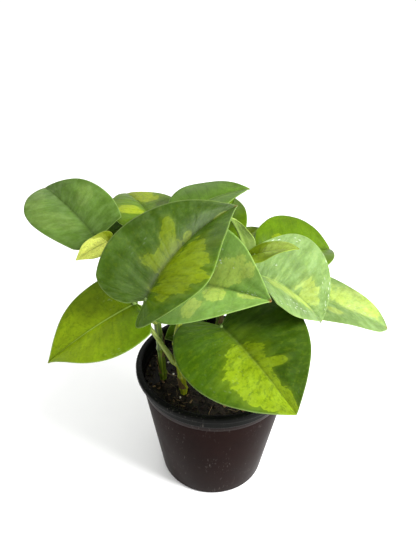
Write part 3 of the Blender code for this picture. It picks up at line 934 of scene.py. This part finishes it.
def finish_piece(piece, slot, replaced=(), smooth_angle=None):
    """Shades the piece smooth, and says what it rides on and the nodes that it stands for. slot is not used.
    """
    activate(piece)
    if smooth_angle is None:
        bpy.ops.object.shade_smooth()
    else:
        bpy.ops.object.shade_smooth_by_angle(angle=math.radians(smooth_angle))
    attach(piece, "root")
    if replaced:
        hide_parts(*replaced)
    return piece


def curve_point(points, place):
    """The point at that place, from 0 to 1, on a Catmull-Rom curve through the given ones."""
    ends = [2 * points[0] - points[1], *points, 2 * points[-1] - points[-2]]
    index = place * (len(points) - 1)
    k = min(int(index), len(points) - 2)
    t = index - k
    a, b, c, d = ends[k : k + 4]
    return 0.5 * (2 * b + (c - a) * t + (2 * a - 5 * b + 4 * c - d) * t**2 + (3 * b - a - 3 * c + d) * t**3)


def bell(value, middle, width):
    """1 at the middle, and falling away smoothly over about that width to each side."""
    return math.exp(-(((value - middle) / width) ** 2))


def carried_frames(points, first_side):
    """(point, side, up) along a line, with the side turned as little as possible from one to the next."""
    frames = []
    side = Vector(first_side)
    for k, point in enumerate(points):
        ahead = points[min(k + 1, len(points) - 1)] - points[max(k - 1, 0)]
        ahead.normalize()
        side = (side - ahead * side.dot(ahead)).normalized()
        frames.append((point, side, ahead.cross(side)))
    return frames


def skin_line(name, points, sides, radius, first_side=(1, 0, 0)):
    """A closed tube along the points. radius(u, angle) gives its radius, with u from 0 to 1 along it."""
    frames = carried_frames(points, first_side)
    rows = len(points) - 1

    def shape(u, v):
        point, side, up = frames[round(u * rows)]
        angle = 2 * math.pi * v
        reach = 0.0 if u < 1e-6 or u > 1 - 1e-6 else radius(u, angle)
        return point + reach * (math.cos(angle) * side + math.sin(angle) * up)

    piece = shaped_grid(name, rows, sides, shape, "along")
    close_seams(piece)
    return piece


def join(pieces, name):
    """Makes one piece of several."""
    activate(pieces[0])
    for piece in pieces:
        piece.select_set(True)
    bpy.ops.object.join()
    pieces[0].name = pieces[0].data.name = name
    return pieces[0]


def scatter(template, matrices, name):
    """One piece made of copies of the template, one for each matrix."""
    copies = []
    for matrix in matrices:
        copy = template.copy()
        copy.data = template.data.copy()
        copy.data.transform(matrix)
        bpy.context.scene.collection.objects.link(copy)
        copies.append(copy)
    bpy.data.objects.remove(template)
    return join(copies, name)


# ---------------------------------------------------------------- the pot


def wall_radius(height):
    """The outer radius of the tapered wall under its stacking step."""
    share = height / (POT_HEIGHT - STEP_DEPTH)
    return BASE_RADIUS + (RIM_RADIUS - LIP_WIDTH - STEP_IN - BASE_RADIUS) * share


def pot_profile(line_depth):
    """(radius, height) from the pad's underside, out and up the wall, over the lip, and down inside."""
    foot_inner = BASE_RADIUS - FOOT_WIDTH
    step_height = POT_HEIGHT - STEP_DEPTH
    lip_inner = RIM_RADIUS - LIP_WIDTH - WALL
    line = step_height - LINE_DROP
    return (
        (PAD_RADIUS, 0.0),
        (PAD_RADIUS + FLOOR_RISE, FLOOR_RISE),
        (foot_inner - FLOOR_RISE / 2, FLOOR_RISE),
        (foot_inner, 0.0),
        (BASE_RADIUS - 0.0010, 0.0),
        (wall_radius(0.0012), 0.0012),
        (wall_radius(0.0100), 0.0100),
        (wall_radius(line - LINE_HALF_WIDTH), line - LINE_HALF_WIDTH),
        (wall_radius(line) - line_depth, line),
        (wall_radius(line + LINE_HALF_WIDTH), line + LINE_HALF_WIDTH),
        (wall_radius(step_height), step_height),
        (RIM_RADIUS - LIP_WIDTH, step_height + STEP_IN),
        (RIM_RADIUS - LIP_WIDTH, POT_HEIGHT - LIP_DEPTH),
        (RIM_RADIUS - 0.0004, POT_HEIGHT - LIP_DEPTH),
        (RIM_RADIUS, POT_HEIGHT - LIP_DEPTH + LIP_EDGE),
        (RIM_RADIUS, POT_HEIGHT - 0.0008),
        (RIM_RADIUS - 0.0009, POT_HEIGHT),
        (lip_inner + 0.0010, POT_HEIGHT),
        (lip_inner, POT_HEIGHT - 0.0008),
        (lip_inner, step_height + STEP_IN),
        (wall_radius(step_height) - WALL, step_height),
        (wall_radius(FLOOR_RISE + WALL) - WALL, FLOOR_RISE + WALL),
        (PAD_RADIUS + FLOOR_RISE, FLOOR_RISE + WALL),
        (PAD_RADIUS, WALL),
    )


class POTHOS_OT_pot(bpy.types.Operator):
    """Models the nursery pot from a ring that is extruded along the pot's profile"""

    bl_idname = "pothos.pot"
    bl_label = "Make the pot"

    def execute(self, context):
        settings = context.scene.pothos_pot
        profile = pot_profile(settings.line_depth)
        deselect_all()
        radius, height = profile[0]
        bpy.ops.mesh.primitive_circle_add(vertices=POT_SIDES, radius=radius, location=(0, 0, height))
        pot = bpy.context.object
        edit_all(pot)
        for new_radius, new_height in profile[1:]:
            bpy.ops.mesh.extrude_region_move(
                TRANSFORM_OT_translate={"value": (0, 0, new_height - height)}
            )
            grown = new_radius / radius
            bpy.ops.transform.resize(value=(grown, grown, 1), center_override=(0, 0, 0))
            radius, height = new_radius, new_height
        bpy.ops.mesh.edge_face_add()
        bpy.ops.mesh.select_all(action="SELECT")
        bpy.ops.mesh.fill_holes(sides=0)
        bpy.ops.mesh.select_all(action="SELECT")
        bpy.ops.mesh.normals_make_consistent(inside=False)
        leave_edit()
        sharp = math.radians(30)
        apply_modifier(
            pot, "BEVEL", width=settings.lip_round, segments=3, limit_method="ANGLE", angle_limit=sharp
        )
        self.drill(pot)
        pot.name = pot.data.name = "plastic_pot"
        pot.data.materials.append(plastic_material(settings))
        finish_piece(pot, "pot_plastic", ["nursery_pot"], smooth_angle=30)
        return {"FINISHED"}

    def drill(self, pot):
        """Takes the drain holes out of the raised part of the floor."""
        deselect_all()
        bpy.ops.mesh.primitive_cylinder_add(
            vertices=32, radius=DRAIN_RADIUS, depth=4 * FLOOR_RISE, location=(DRAIN_CIRCLE, 0, FLOOR_RISE)
        )
        drill = bpy.context.object
        bpy.ops.object.transform_apply()
        turns = [Matrix.Rotation(2 * math.pi * k / DRAIN_HOLES, 4, "Z") for k in range(DRAIN_HOLES)]
        drills = scatter(drill, turns, "drills")
        apply_modifier(pot, "BOOLEAN", operation="DIFFERENCE", object=drills, solver="EXACT")
        bpy.data.objects.remove(drills)


# ---------------------------------------------------------------- the potting mix


def soil_reach():
    """The radius of the soil's surface, which all but meets the wall."""
    return SOIL_HIGH.x - SURFACE_GAP


def soil_height(x, y, lumps):
    """The height of the soil's surface at a place."""
    share = min(1.0, math.hypot(x, y) / soil_reach())
    slow = noise.noise(Vector((x, y, 0.0)) * 60.0)
    middle = noise.noise(Vector((x, y, 0.3)) * 190.0)
    fine = noise.noise(Vector((x, y, 0.7)) * 520.0)
    fade = 1 - 0.5 * share**6
    return SOIL_TOP - SOIL_CROWN * share**3 + lumps * fade * (0.55 * slow + 0.35 * middle + 0.25 * fine - 0.2)


def free_place(draw, edge):
    """A random place on the soil, up to that distance from its centre."""
    angle = draw.uniform(0, 2 * math.pi)
    reach = edge * math.sqrt(draw.random())
    return reach * math.cos(angle), reach * math.sin(angle)


def random_turn(draw, tilt):
    """A random turn about the upright, after a random tilt of up to that many degrees."""
    lean = Matrix.Rotation(math.radians(draw.uniform(-tilt, tilt)), 4, "X")
    return Matrix.Rotation(draw.uniform(0, 2 * math.pi), 4, "Z") @ lean


def dent(piece, scale, amount):
    """Pushes the piece's vertices in and out, by up to about that share."""
    for vertex in piece.data.vertices:
        vertex.co *= 1 + amount * noise.noise(vertex.co * scale)


class POTHOS_OT_soil(bpy.types.Operator):
    """Models the body of potting mix, with a lumpy surface"""

    bl_idname = "pothos.soil"
    bl_label = "Make the potting mix"

    def execute(self, context):
        settings = context.scene.pothos_soil
        floor = SOIL_LOW.z
        foot = wall_radius(FLOOR_RISE + WALL) - WALL - SOIL_GAP

        def shape(u, v):
            angle = 2 * math.pi * v
            if u <= 0.8:
                reach = soil_reach() * u / 0.8
                x, y = reach * math.cos(angle), reach * math.sin(angle)
                return Vector((x, y, soil_height(x, y, settings.roughness)))
            if u <= 0.9:
                share = (u - 0.8) / 0.1
                reach = soil_reach() + (foot - soil_reach()) * share
                edge = (soil_reach() * math.cos(angle), soil_reach() * math.sin(angle))
                top = soil_height(*edge, settings.roughness)
                height = top + (FLOOR_RISE + WALL + SOIL_GAP - top) * share
            else:
                share = min(1.0, (1 - u) / 0.1)
                reach = foot * share
                height = FLOOR_RISE + WALL + SOIL_GAP if reach > PAD_RADIUS else floor
            return Vector((reach * math.cos(angle), reach * math.sin(angle), height))

        soil = shaped_grid("potting_mix", 90, 150, shape, "around")
        close_seams(soil)
        soil.data.materials.append(crumb_material("damp_earth", settings.earth))
        finish_piece(soil, "soil", ["potting_soil"], smooth_angle=50)
        return {"FINISHED"}


class POTHOS_OT_soil_bits(bpy.types.Operator):
    """Scatters clods, bark chips, root fibres and perlite over the potting mix"""

    bl_idname = "pothos.soil_bits"
    bl_label = "Scatter the soil's bits"

    def execute(self, context):
        settings = context.scene.pothos_soil
        draw = random.Random(settings.seed)
        self.clods(settings, draw)
        self.chips(settings, draw)
        self.fibres(settings, draw)
        self.perlite(settings, draw)
        return {"FINISHED"}

    def lay(self, draw, count, edge, sink, tilt, sizes):
        """A matrix for each bit: where it lies, how it is turned, and its size from sizes()."""
        made = []
        for _ in range(count):
            x, y = free_place(draw, edge)
            size = sizes()
            height = soil_height(x, y, bpy.context.scene.pothos_soil.roughness) + sink * size[2]
            turn = random_turn(draw, tilt)
            made.append(Matrix.Translation((x, y, height)) @ turn @ Matrix.Diagonal((*size, 1)))
        return made

    def clods(self, settings, draw):
        deselect_all()
        bpy.ops.mesh.primitive_ico_sphere_add(subdivisions=2, radius=1.0)
        clod = bpy.context.object
        dent(clod, 1.7, 0.45)

        def sizes():
            size = draw.uniform(0.4, 1.0) ** 2 * 2.1 * MM
            return size, size * draw.uniform(0.6, 1.0), size * draw.uniform(0.5, 0.9)

        piece = scatter(clod, self.lay(draw, settings.clods, 0.0480, 0.1, 40, sizes), "soil_clods")
        piece.data.materials.append(crumb_material("clod_earth", settings.earth, 1.4))
        finish_piece(piece, "soil")

    def chips(self, settings, draw):
        deselect_all()
        bpy.ops.mesh.primitive_cube_add(size=1.0)
        chip = bpy.context.object
        edit_all(chip)
        bpy.ops.mesh.subdivide(number_cuts=2)
        leave_edit()
        for vertex in chip.data.vertices:
            push = noise.noise(vertex.co * 2.3 + Vector((4, 1, 7)))
            vertex.co *= 1 - 0.35 * abs(vertex.co.x) + 0.35 * push

        def sizes():
            return draw.uniform(2.0, 5.2) * MM, draw.uniform(0.9, 1.9) * MM, draw.uniform(0.4, 0.8) * MM

        piece = scatter(chip, self.lay(draw, settings.chips, 0.0465, 0.7, 28, sizes), "bark_chips")
        piece.data.materials.append(crumb_material("bark", settings.bark, 1.2, 0.85))
        finish_piece(piece, "soil", smooth_angle=40)

    def fibres(self, settings, draw):
        line = []
        for k in range(9):
            line.append(Vector((k / 8 - 0.5, 0.10 * math.sin(5 * k / 8), 0.05 * math.cos(7 * k / 8))))
        fibre = skin_line("fibre", line, 5, lambda u, angle: 0.014)

        def sizes():
            size = draw.uniform(5.0, 13.0) * MM
            return size, size * draw.uniform(-1.6, 1.6), size * 0.9

        piece = scatter(fibre, self.lay(draw, settings.fibres, 0.0440, 0.06, 14, sizes), "root_fibres")
        close_seams(piece, 1e-7)
        piece.data.materials.append(
            streaked_material("dry_fibre", tuple(0.5 * c for c in settings.fibre), settings.fibre, 3.0, 0.8)
        )
        finish_piece(piece, "soil")

    def perlite(self, settings, draw):
        deselect_all()
        bpy.ops.mesh.primitive_ico_sphere_add(subdivisions=2, radius=1.0)
        grain = bpy.context.object
        dent(grain, 2.4, 0.35)

        def sizes():
            size = draw.uniform(0.5, 1.05) * MM
            return size, size * draw.uniform(0.7, 1.0), size * 0.8

        piece = scatter(grain, self.lay(draw, settings.grains, 0.0460, 0.35, 40, sizes), "perlite")
        piece.data.materials.append(crumb_material("perlite", settings.perlite, 1.5))
        finish_piece(piece, "soil")


# ---------------------------------------------------------------- stems and stalks


def plant_point(point):
    """A place given from the centre of the soil's surface, in the frame."""
    return Vector(point) + Vector((0, 0, SOIL_TOP))


def stem_place(name, share):
    """The place on a stem's middle line, from 0 at the soil to 1 at the growing tip."""
    return curve_point([plant_point(point) for point in STEMS[name]], share)


def stem_nodes(name):
    """Where a stem has a node: at each leaf's stalk, and at even steps below the lowest one."""
    shares = sorted(leaf.at for leaf in LEAVES if leaf.stem == name)
    return [0.06, 0.06 + 0.5 * (shares[0] - 0.06), *shares]


def stem_radius(name, swelling, share):
    """The part's radius, with the nodes' swellings. share is from 0 at the soil to 1 at the growing tip."""
    end = 1.0 - 0.55 * max(0.0, (share - 0.86) / 0.14) ** 1.5
    swollen = sum(bell(share, node, 0.018) for node in stem_nodes(name))
    return STEM_RADIUS * end * (0.93 + swelling * swollen)


class POTHOS_OT_stems(bpy.types.Operator):
    """Models the five stems with their nodes, their growing tips and their dried sheaths"""

    bl_idname = "pothos.stems"
    bl_label = "Make the stems"

    def execute(self, context):
        settings = context.scene.pothos_stems
        bark = streaked_material("green_stem", settings.stem, settings.stem_pale, 5.0, 0.42)
        yellow = streaked_material("yellow_stem", settings.stem_pale, settings.stem_yellow, 3.0, 0.42)
        dry = streaked_material("dry_sheath", tuple(0.45 * c for c in settings.dry), settings.dry, 4.0, 0.75)
        below = STEM_DEPTH
        for name in STEMS:
            root = stem_place(name, 0.0)
            tall = (stem_place(name, 1.0) - root).length
            buried = below / (below + tall)

            def share_above(u):
                return max(0.0, (u - buried) / (1 - buried))

            points = []
            for k in range(STEM_ROWS + 1):
                u = k / STEM_ROWS
                down = max(0.0, buried - u) / buried * below
                points.append(stem_place(name, share_above(u)) - Vector((0, 0, down)))

            def radius(u, angle):
                share = share_above(u)
                ribbed = 1 + 0.03 * math.sin(7 * angle + 9 * share)
                return stem_radius(name, settings.node_swelling, share) * ribbed

            stem = skin_line("vine_" + name, points, STEM_SIDES, radius)
            stem.data.materials.append(yellow if name in YELLOW_STEMS else bark)
            finish_piece(stem, "stem", ["stem_" + name])
            self.sheaths(name, dry)
        return {"FINISHED"}

    def sheaths(self, name, dry):
        """Dried sheaths, each a thin curled strip that clasps its stem above a low node."""
        draw = random.Random("sheath " + name)
        strips = []
        for share in (0.08, 0.30):
            turn = draw.uniform(0, 2 * math.pi)
            tall = draw.uniform(0.16, 0.26)

            def shape(u, v):
                angle = turn + (v - 0.5) * math.radians(200 - 120 * u)
                flare = 1.10 + 0.55 * u**2 * abs(v - 0.5)
                height = share + tall * u * (1 - 1.1 * (v - 0.5) ** 2)
                middle = stem_place(name, min(1.0, height))
                reach = STEM_RADIUS * flare
                return middle + Vector((reach * math.cos(angle), reach * math.sin(angle), 0.0))

            strip = shaped_grid("strip", 14, 12, shape, "along")
            apply_modifier(strip, "SOLIDIFY", thickness=0.00018, offset=0.0)
            strips.append(strip)
        piece = join(strips, "dry_sheaths_" + name)
        piece.data.materials.append(dry)
        finish_piece(piece, "stem")


def stalk_points(leaf):
    """The part's stalk line, drawn on into its stem at one end and into its blade at the other."""
    _, matrix = blade_frame(leaf)
    turn = matrix.to_3x3()
    arrive = turn @ Vector((0.5, 0.0, 1.0)).normalized()
    end = matrix.translation - turn @ Vector((0, 0, 0.7 * MM))
    node = stem_place(leaf.stem, leaf.at)
    away = Vector((end.x - node.x, end.y - node.y, 0.0)).normalized()
    start = node + away * (STEM_RADIUS + STALK_RADIUS + 0.6 * MM)
    reach = (end - start).length
    first = start + (away * STALK_LEAN + Vector((0, 0, STALK_RISE))) * reach + Vector(leaf.bow)
    last = end - arrive * STALK_ARRIVAL * reach + Vector(leaf.bow)
    inner = node - Vector((0, 0, 1.5 * MM))
    line = [inner.lerp(start, share) for share in (0.0, 0.35, 0.70)]
    rows = STALK_ROWS - len(line)
    for k in range(rows):
        t = k / (rows - 1)
        s = 1 - t
        line.append(s**3 * start + 3 * s**2 * t * first + 3 * s * t**2 * last + t**3 * end)
    line.append(end + turn @ Vector((0.6 * MM, 0.0, 0.35 * MM)))
    return line


class POTHOS_OT_stalks(bpy.types.Operator):
    """Models each leaf's stalk: sheathed at the stem, grooved on top and swollen under the blade"""

    bl_idname = "pothos.stalks"
    bl_label = "Make the stalks"

    def execute(self, context):
        settings = context.scene.pothos_stems
        rind = streaked_material("pale_stalk", settings.stalk, settings.stalk_pale, 6.0, 0.42)
        for leaf in LEAVES:
            points = stalk_points(leaf)

            def radius(u, angle):
                slim = 1.25 - 0.45 * u
                sheath = 0.75 * max(0.0, 1 - u / 0.22) ** 1.5
                knee = 0.22 * bell(u, 0.95, 0.03)
                upper = bell(math.remainder(angle, 2 * math.pi), 0.0, 0.55)
                groove = settings.groove * (1 - 0.6 * u) * upper
                return STALK_RADIUS * (slim + sheath + knee) * (1 - groove)

            stalk = skin_line("petiole_" + leaf.name, points, STALK_SIDES, radius, first_side=(0, 0.05, 1))
            stalk.data.materials.append(rind)
            finish_piece(stalk, "stalk", ["stalk_" + leaf.name])
        return {"FINISHED"}


# ---------------------------------------------------------------- blades


def margin_at(place):
    """(midrib x, margin x, margin y) of the vein at that place, from 0 at the stalk to 1 at the tip."""
    return curve_point([Vector((middle, *edge)) for middle, edge in zip(MIDRIB, MARGIN)], place)


def blade_point(leaf, length, place, across, detail=None):
    """A point of the blade in its own axes: +X from stalk to tip, +Y its left side, +Z its upper face."""
    middle, edge_x, edge_y = margin_at(place)
    side = 1 if across >= 0 else -1
    edge_y *= curve_point(leaf.left if side > 0 else leaf.right, place)
    if edge_x < 0:
        edge_x *= leaf.lobes[0 if side > 0 else 1]
    x = middle + (edge_x - middle) * abs(across)
    half = 0.5 * leaf.width * (1 + side * leaf.lean)
    share = 2 * edge_y * abs(across)
    fold, curl = math.radians(leaf.fold), math.radians(leaf.curl)
    out = half * (math.sin(fold) - math.sin(fold - curl * share)) / curl
    lift = half * (math.cos(fold - curl * share) - math.cos(fold)) / curl
    lift += leaf.ruffle * share**2 * math.sin(2 * math.pi * RUFFLE_WAVES * place + 2 * side)
    if detail:
        lift += detail(place, across, share * half)
    droop, sweep = math.radians(leaf.droop), math.radians(leaf.sweep)
    arch = Vector((math.sin(droop * x) / droop, sweep * x * x / 2, (math.cos(droop * x) - 1) / droop))
    turn = Matrix.Rotation(sweep * x, 3, "Z") @ Matrix.Rotation(droop * x, 3, "Y")
    return length * arch + turn @ Vector((0.0, side * out, lift))


def blade_frame(leaf):
    """The blade's length, and the matrix that puts its base and tip where the leaf says."""
    base, tip = plant_point(leaf.base), plant_point(leaf.tip)
    reach = blade_point(leaf, 1.0, 1.0, 0.0)
    length = (tip - base).length / reach.length
    along = (tip - base).normalized()
    left = Vector((0, 0, 1)).cross(along).normalized()
    world = Matrix((along, left, along.cross(left))).transposed()
    own_x = reach.normalized()
    own_y = Vector((0, 0, 1)).cross(own_x).normalized()
    own = Matrix((own_x, own_y, own_x.cross(own_y)))
    turn = world @ Matrix.Rotation(math.radians(leaf.roll), 3, "X") @ own
    return length, Matrix.Translation(base) @ turn.to_4x4()


def relief(settings, small, seed):
    """A blade's relief: the groove over the midrib, the quilting between side veins and slow waves."""

    def lift(place, across, aside):
        fade = min(1.0, abs(across) * 8) * (1 - abs(across) ** 6)
        groove = settings.groove * bell(aside, 0.0, 1.1 * MM) * (1 - 0.6 * place)
        quilts = settings.quilting * fade * math.cos(2 * math.pi * settings.side_veins * place)
        spot = Vector((3.2 * place, 1.9 * across, seed))
        pinned = min(1.0, 5 * place) * min(1.0, 6 * (1 - place))
        waves = settings.swell * noise.noise(spot) * pinned * min(1.0, 3 * abs(across))
        return small * (quilts + waves) - groove * small

    return lift


def note_margin(piece):
    """Gives each point of the flat blade its distance from the margin, as the attribute from_margin."""
    mesh = piece.data
    uses = {}
    for face in mesh.polygons:
        for key in face.edge_keys:
            uses[key] = uses.get(key, 0) + 1
    outline = {k for key, count in uses.items() if count == 1 for k in key}
    tree = KDTree(len(outline))
    for k in outline:
        tree.insert(mesh.vertices[k].co, k)
    tree.balance()
    attribute = mesh.attributes.new("from_margin", "FLOAT", "POINT")
    for vertex in mesh.vertices:
        attribute.data[vertex.index].value = tree.find(vertex.co)[2]


def thicken(piece, leaf, settings):
    """Gives the blade its thickness, most at the midrib, and marks the faces of its underside."""
    mesh = piece.data
    group = piece.vertex_groups.new(name="thickness")
    across = {}
    for loop, uv in zip(mesh.loops, mesh.uv_layers[0].uv):
        across[loop.vertex_index] = uv.vector.copy()
    for k, uv in across.items():
        aside = abs(2 * uv.y - 1) * margin_at(uv.x)[2] * leaf.width
        rib = bell(aside, 0.0, 1.0 * MM) * (1 - 0.7 * uv.x)
        group.add([k], settings.thin + (1 - settings.thin) * rib, "REPLACE")
    faces = len(mesh.polygons)
    small = min(1.0, 0.4 + leaf.width / 0.06)
    apply_modifier(
        piece, "SOLIDIFY", thickness=settings.thickness * small, offset=-1.0, vertex_group="thickness"
    )
    underside = piece.data.attributes.new("underside", "FLOAT", "FACE")
    for face in piece.data.polygons[faces : 2 * faces]:
        underside.data[face.index].value = 1.0
    piece.vertex_groups.clear()


class POTHOS_OT_leaves(bpy.types.Operator):
    """Models each leaf's blade from a grid laid over its veins, and paints its patches"""

    bl_idname = "pothos.leaves"
    bl_label = "Make the leaves"

    def execute(self, context):
        settings = context.scene.pothos_leaves
        for number, leaf in enumerate(LEAVES):
            length, matrix = blade_frame(leaf)
            small = min(1.0, leaf.width / 0.05)
            lift = relief(settings, small, 1.7 * number)

            def shape(u, v):
                return matrix @ blade_point(leaf, length, u, 2 * v - 1, lift)

            rows = round(BLADE_ROWS * (0.4 + 0.6 * small))
            columns = 2 * round(BLADE_COLUMNS * (0.4 + 0.6 * small) / 2)
            blade = shaped_grid("blade_" + leaf.name, rows, columns, shape, "veins")
            edit_all(blade)
            bpy.ops.mesh.remove_doubles(threshold=1e-6)
            leave_edit()
            note_margin(blade)
            thicken(blade, leaf, settings)
            self.compare(blade, leaf)
            finish = FINISHES[leaf.name]
            blade.data.materials.append(leaf_material(leaf, finish, settings, 1.7 * number))
            finish_piece(blade, finish.slot, ["leaf_" + leaf.name])
        return {"FINISHED"}

    def compare(self, blade, leaf):
        """Stops if the blade isn't where the part's own blade is."""
        low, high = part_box("leaf_" + leaf.name)
        for axis in range(3):
            values = [vertex.co[axis] for vertex in blade.data.vertices]
            if abs(min(values) - low[axis]) > 3 * MM or abs(max(values) - high[axis]) > 3 * MM:
                raise RuntimeError(f"blade {leaf.name} has left its place in the frame")


# ---------------------------------------------------------------- the stage


class POTHOS_OT_stage(bpy.types.Operator):
    """Sets the pale floor, the soft lights and the camera"""

    bl_idname = "pothos.stage"
    bl_label = "Set the stage"

    def execute(self, context):
        settings = context.scene.pothos_stage
        low, high = Vector(CAD_BOX[0]), Vector(CAD_BOX[1])
        centre = (low + high) / 2
        floor = shaped_grid(
            "floor", 8, 8, lambda u, v: Vector((12 * (u - 0.5), 12 * (v - 0.5), low.z - 0.0001)), "flat"
        )
        floor.data.materials.append(floor_material(settings.floor))

        world = bpy.data.worlds.new("even_light")
        world.use_nodes = True
        world.node_tree.nodes["Background"].inputs["Color"].default_value = (1.0, 1.0, 1.0, 1.0)
        world.node_tree.nodes["Background"].inputs["Strength"].default_value = settings.sky
        context.scene.world = world
        self.soft_light("key_light", centre + Vector((0.85, -0.40, 0.65)), centre, 0.5, settings.key)
        self.soft_light("rim_light", centre + Vector((-0.20, 0.90, 0.80)), centre, 0.6, settings.rim)

        data = bpy.data.cameras.new("camera")
        data.lens = settings.lens
        data.sensor_width = 36.0
        data.clip_start = 0.01
        camera = bpy.data.objects.new("camera", data)
        context.scene.collection.objects.link(camera)
        place = Vector((0.0, -0.294, 0.344))
        aim = Vector((-0.0063, 0.0, 0.159))
        camera.location = place
        camera.rotation_mode = "QUATERNION"
        level = (aim - place).to_track_quat("-Z", "Y")
        camera.rotation_quaternion = level @ Quaternion((0, 0, 1), settings.roll)
        context.scene.camera = camera
        context.scene.view_settings.view_transform = "Standard"
        return {"FINISHED"}

    def soft_light(self, name, place, aim, size, power):
        data = bpy.data.lights.new(name, "AREA")
        data.shape = "DISK"
        data.size = size
        data.energy = power
        lamp = bpy.data.objects.new(name, data)
        lamp.location = place
        lamp.rotation_mode = "QUATERNION"
        lamp.rotation_quaternion = (aim - place).to_track_quat("-Z", "Y")
        bpy.context.scene.collection.objects.link(lamp)


OPERATORS = (
    POTHOS_OT_pot,
    POTHOS_OT_soil,
    POTHOS_OT_soil_bits,
    POTHOS_OT_stems,
    POTHOS_OT_stalks,
    POTHOS_OT_leaves,
    POTHOS_OT_stage,
)
SETTINGS = {
    "pothos_pot": PotSettings,
    "pothos_soil": SoilSettings,
    "pothos_stems": StemSettings,
    "pothos_leaves": LeafSettings,
    "pothos_stage": StageSettings,
}


class POTHOS_PT_panel(bpy.types.Panel):
    """Lists the settings and the steps in the 3D view's sidebar"""

    bl_idname = "POTHOS_PT_panel"
    bl_label = "Potted pothos"
    bl_space_type = "VIEW_3D"
    bl_region_type = "UI"
    bl_category = "Pothos"

    def draw(self, context):
        for operator in OPERATORS:
            self.layout.operator(operator.bl_idname)
        for name, kind in SETTINGS.items():
            box = self.layout.box()
            box.label(text=kind.__doc__)
            for key in kind.__annotations__:
                box.prop(getattr(context.scene, name), key)


def register():
    for kind in (*SETTINGS.values(), *OPERATORS, POTHOS_PT_panel):
        bpy.utils.register_class(kind)
    for name, kind in SETTINGS.items():
        setattr(bpy.types.Scene, name, bpy.props.PointerProperty(type=kind))


def unregister():
    for name in SETTINGS:
        delattr(bpy.types.Scene, name)
    for kind in (POTHOS_PT_panel, *reversed(OPERATORS), *reversed(SETTINGS.values())):
        bpy.utils.unregister_class(kind)


def main():
    register()
    bpy.ops.pothos.pot()
    bpy.ops.pothos.soil()
    bpy.ops.pothos.soil_bits()
    bpy.ops.pothos.stems()
    bpy.ops.pothos.stalks()
    bpy.ops.pothos.leaves()
    bpy.ops.pothos.stage()


if __name__ == "__main__":
    main()
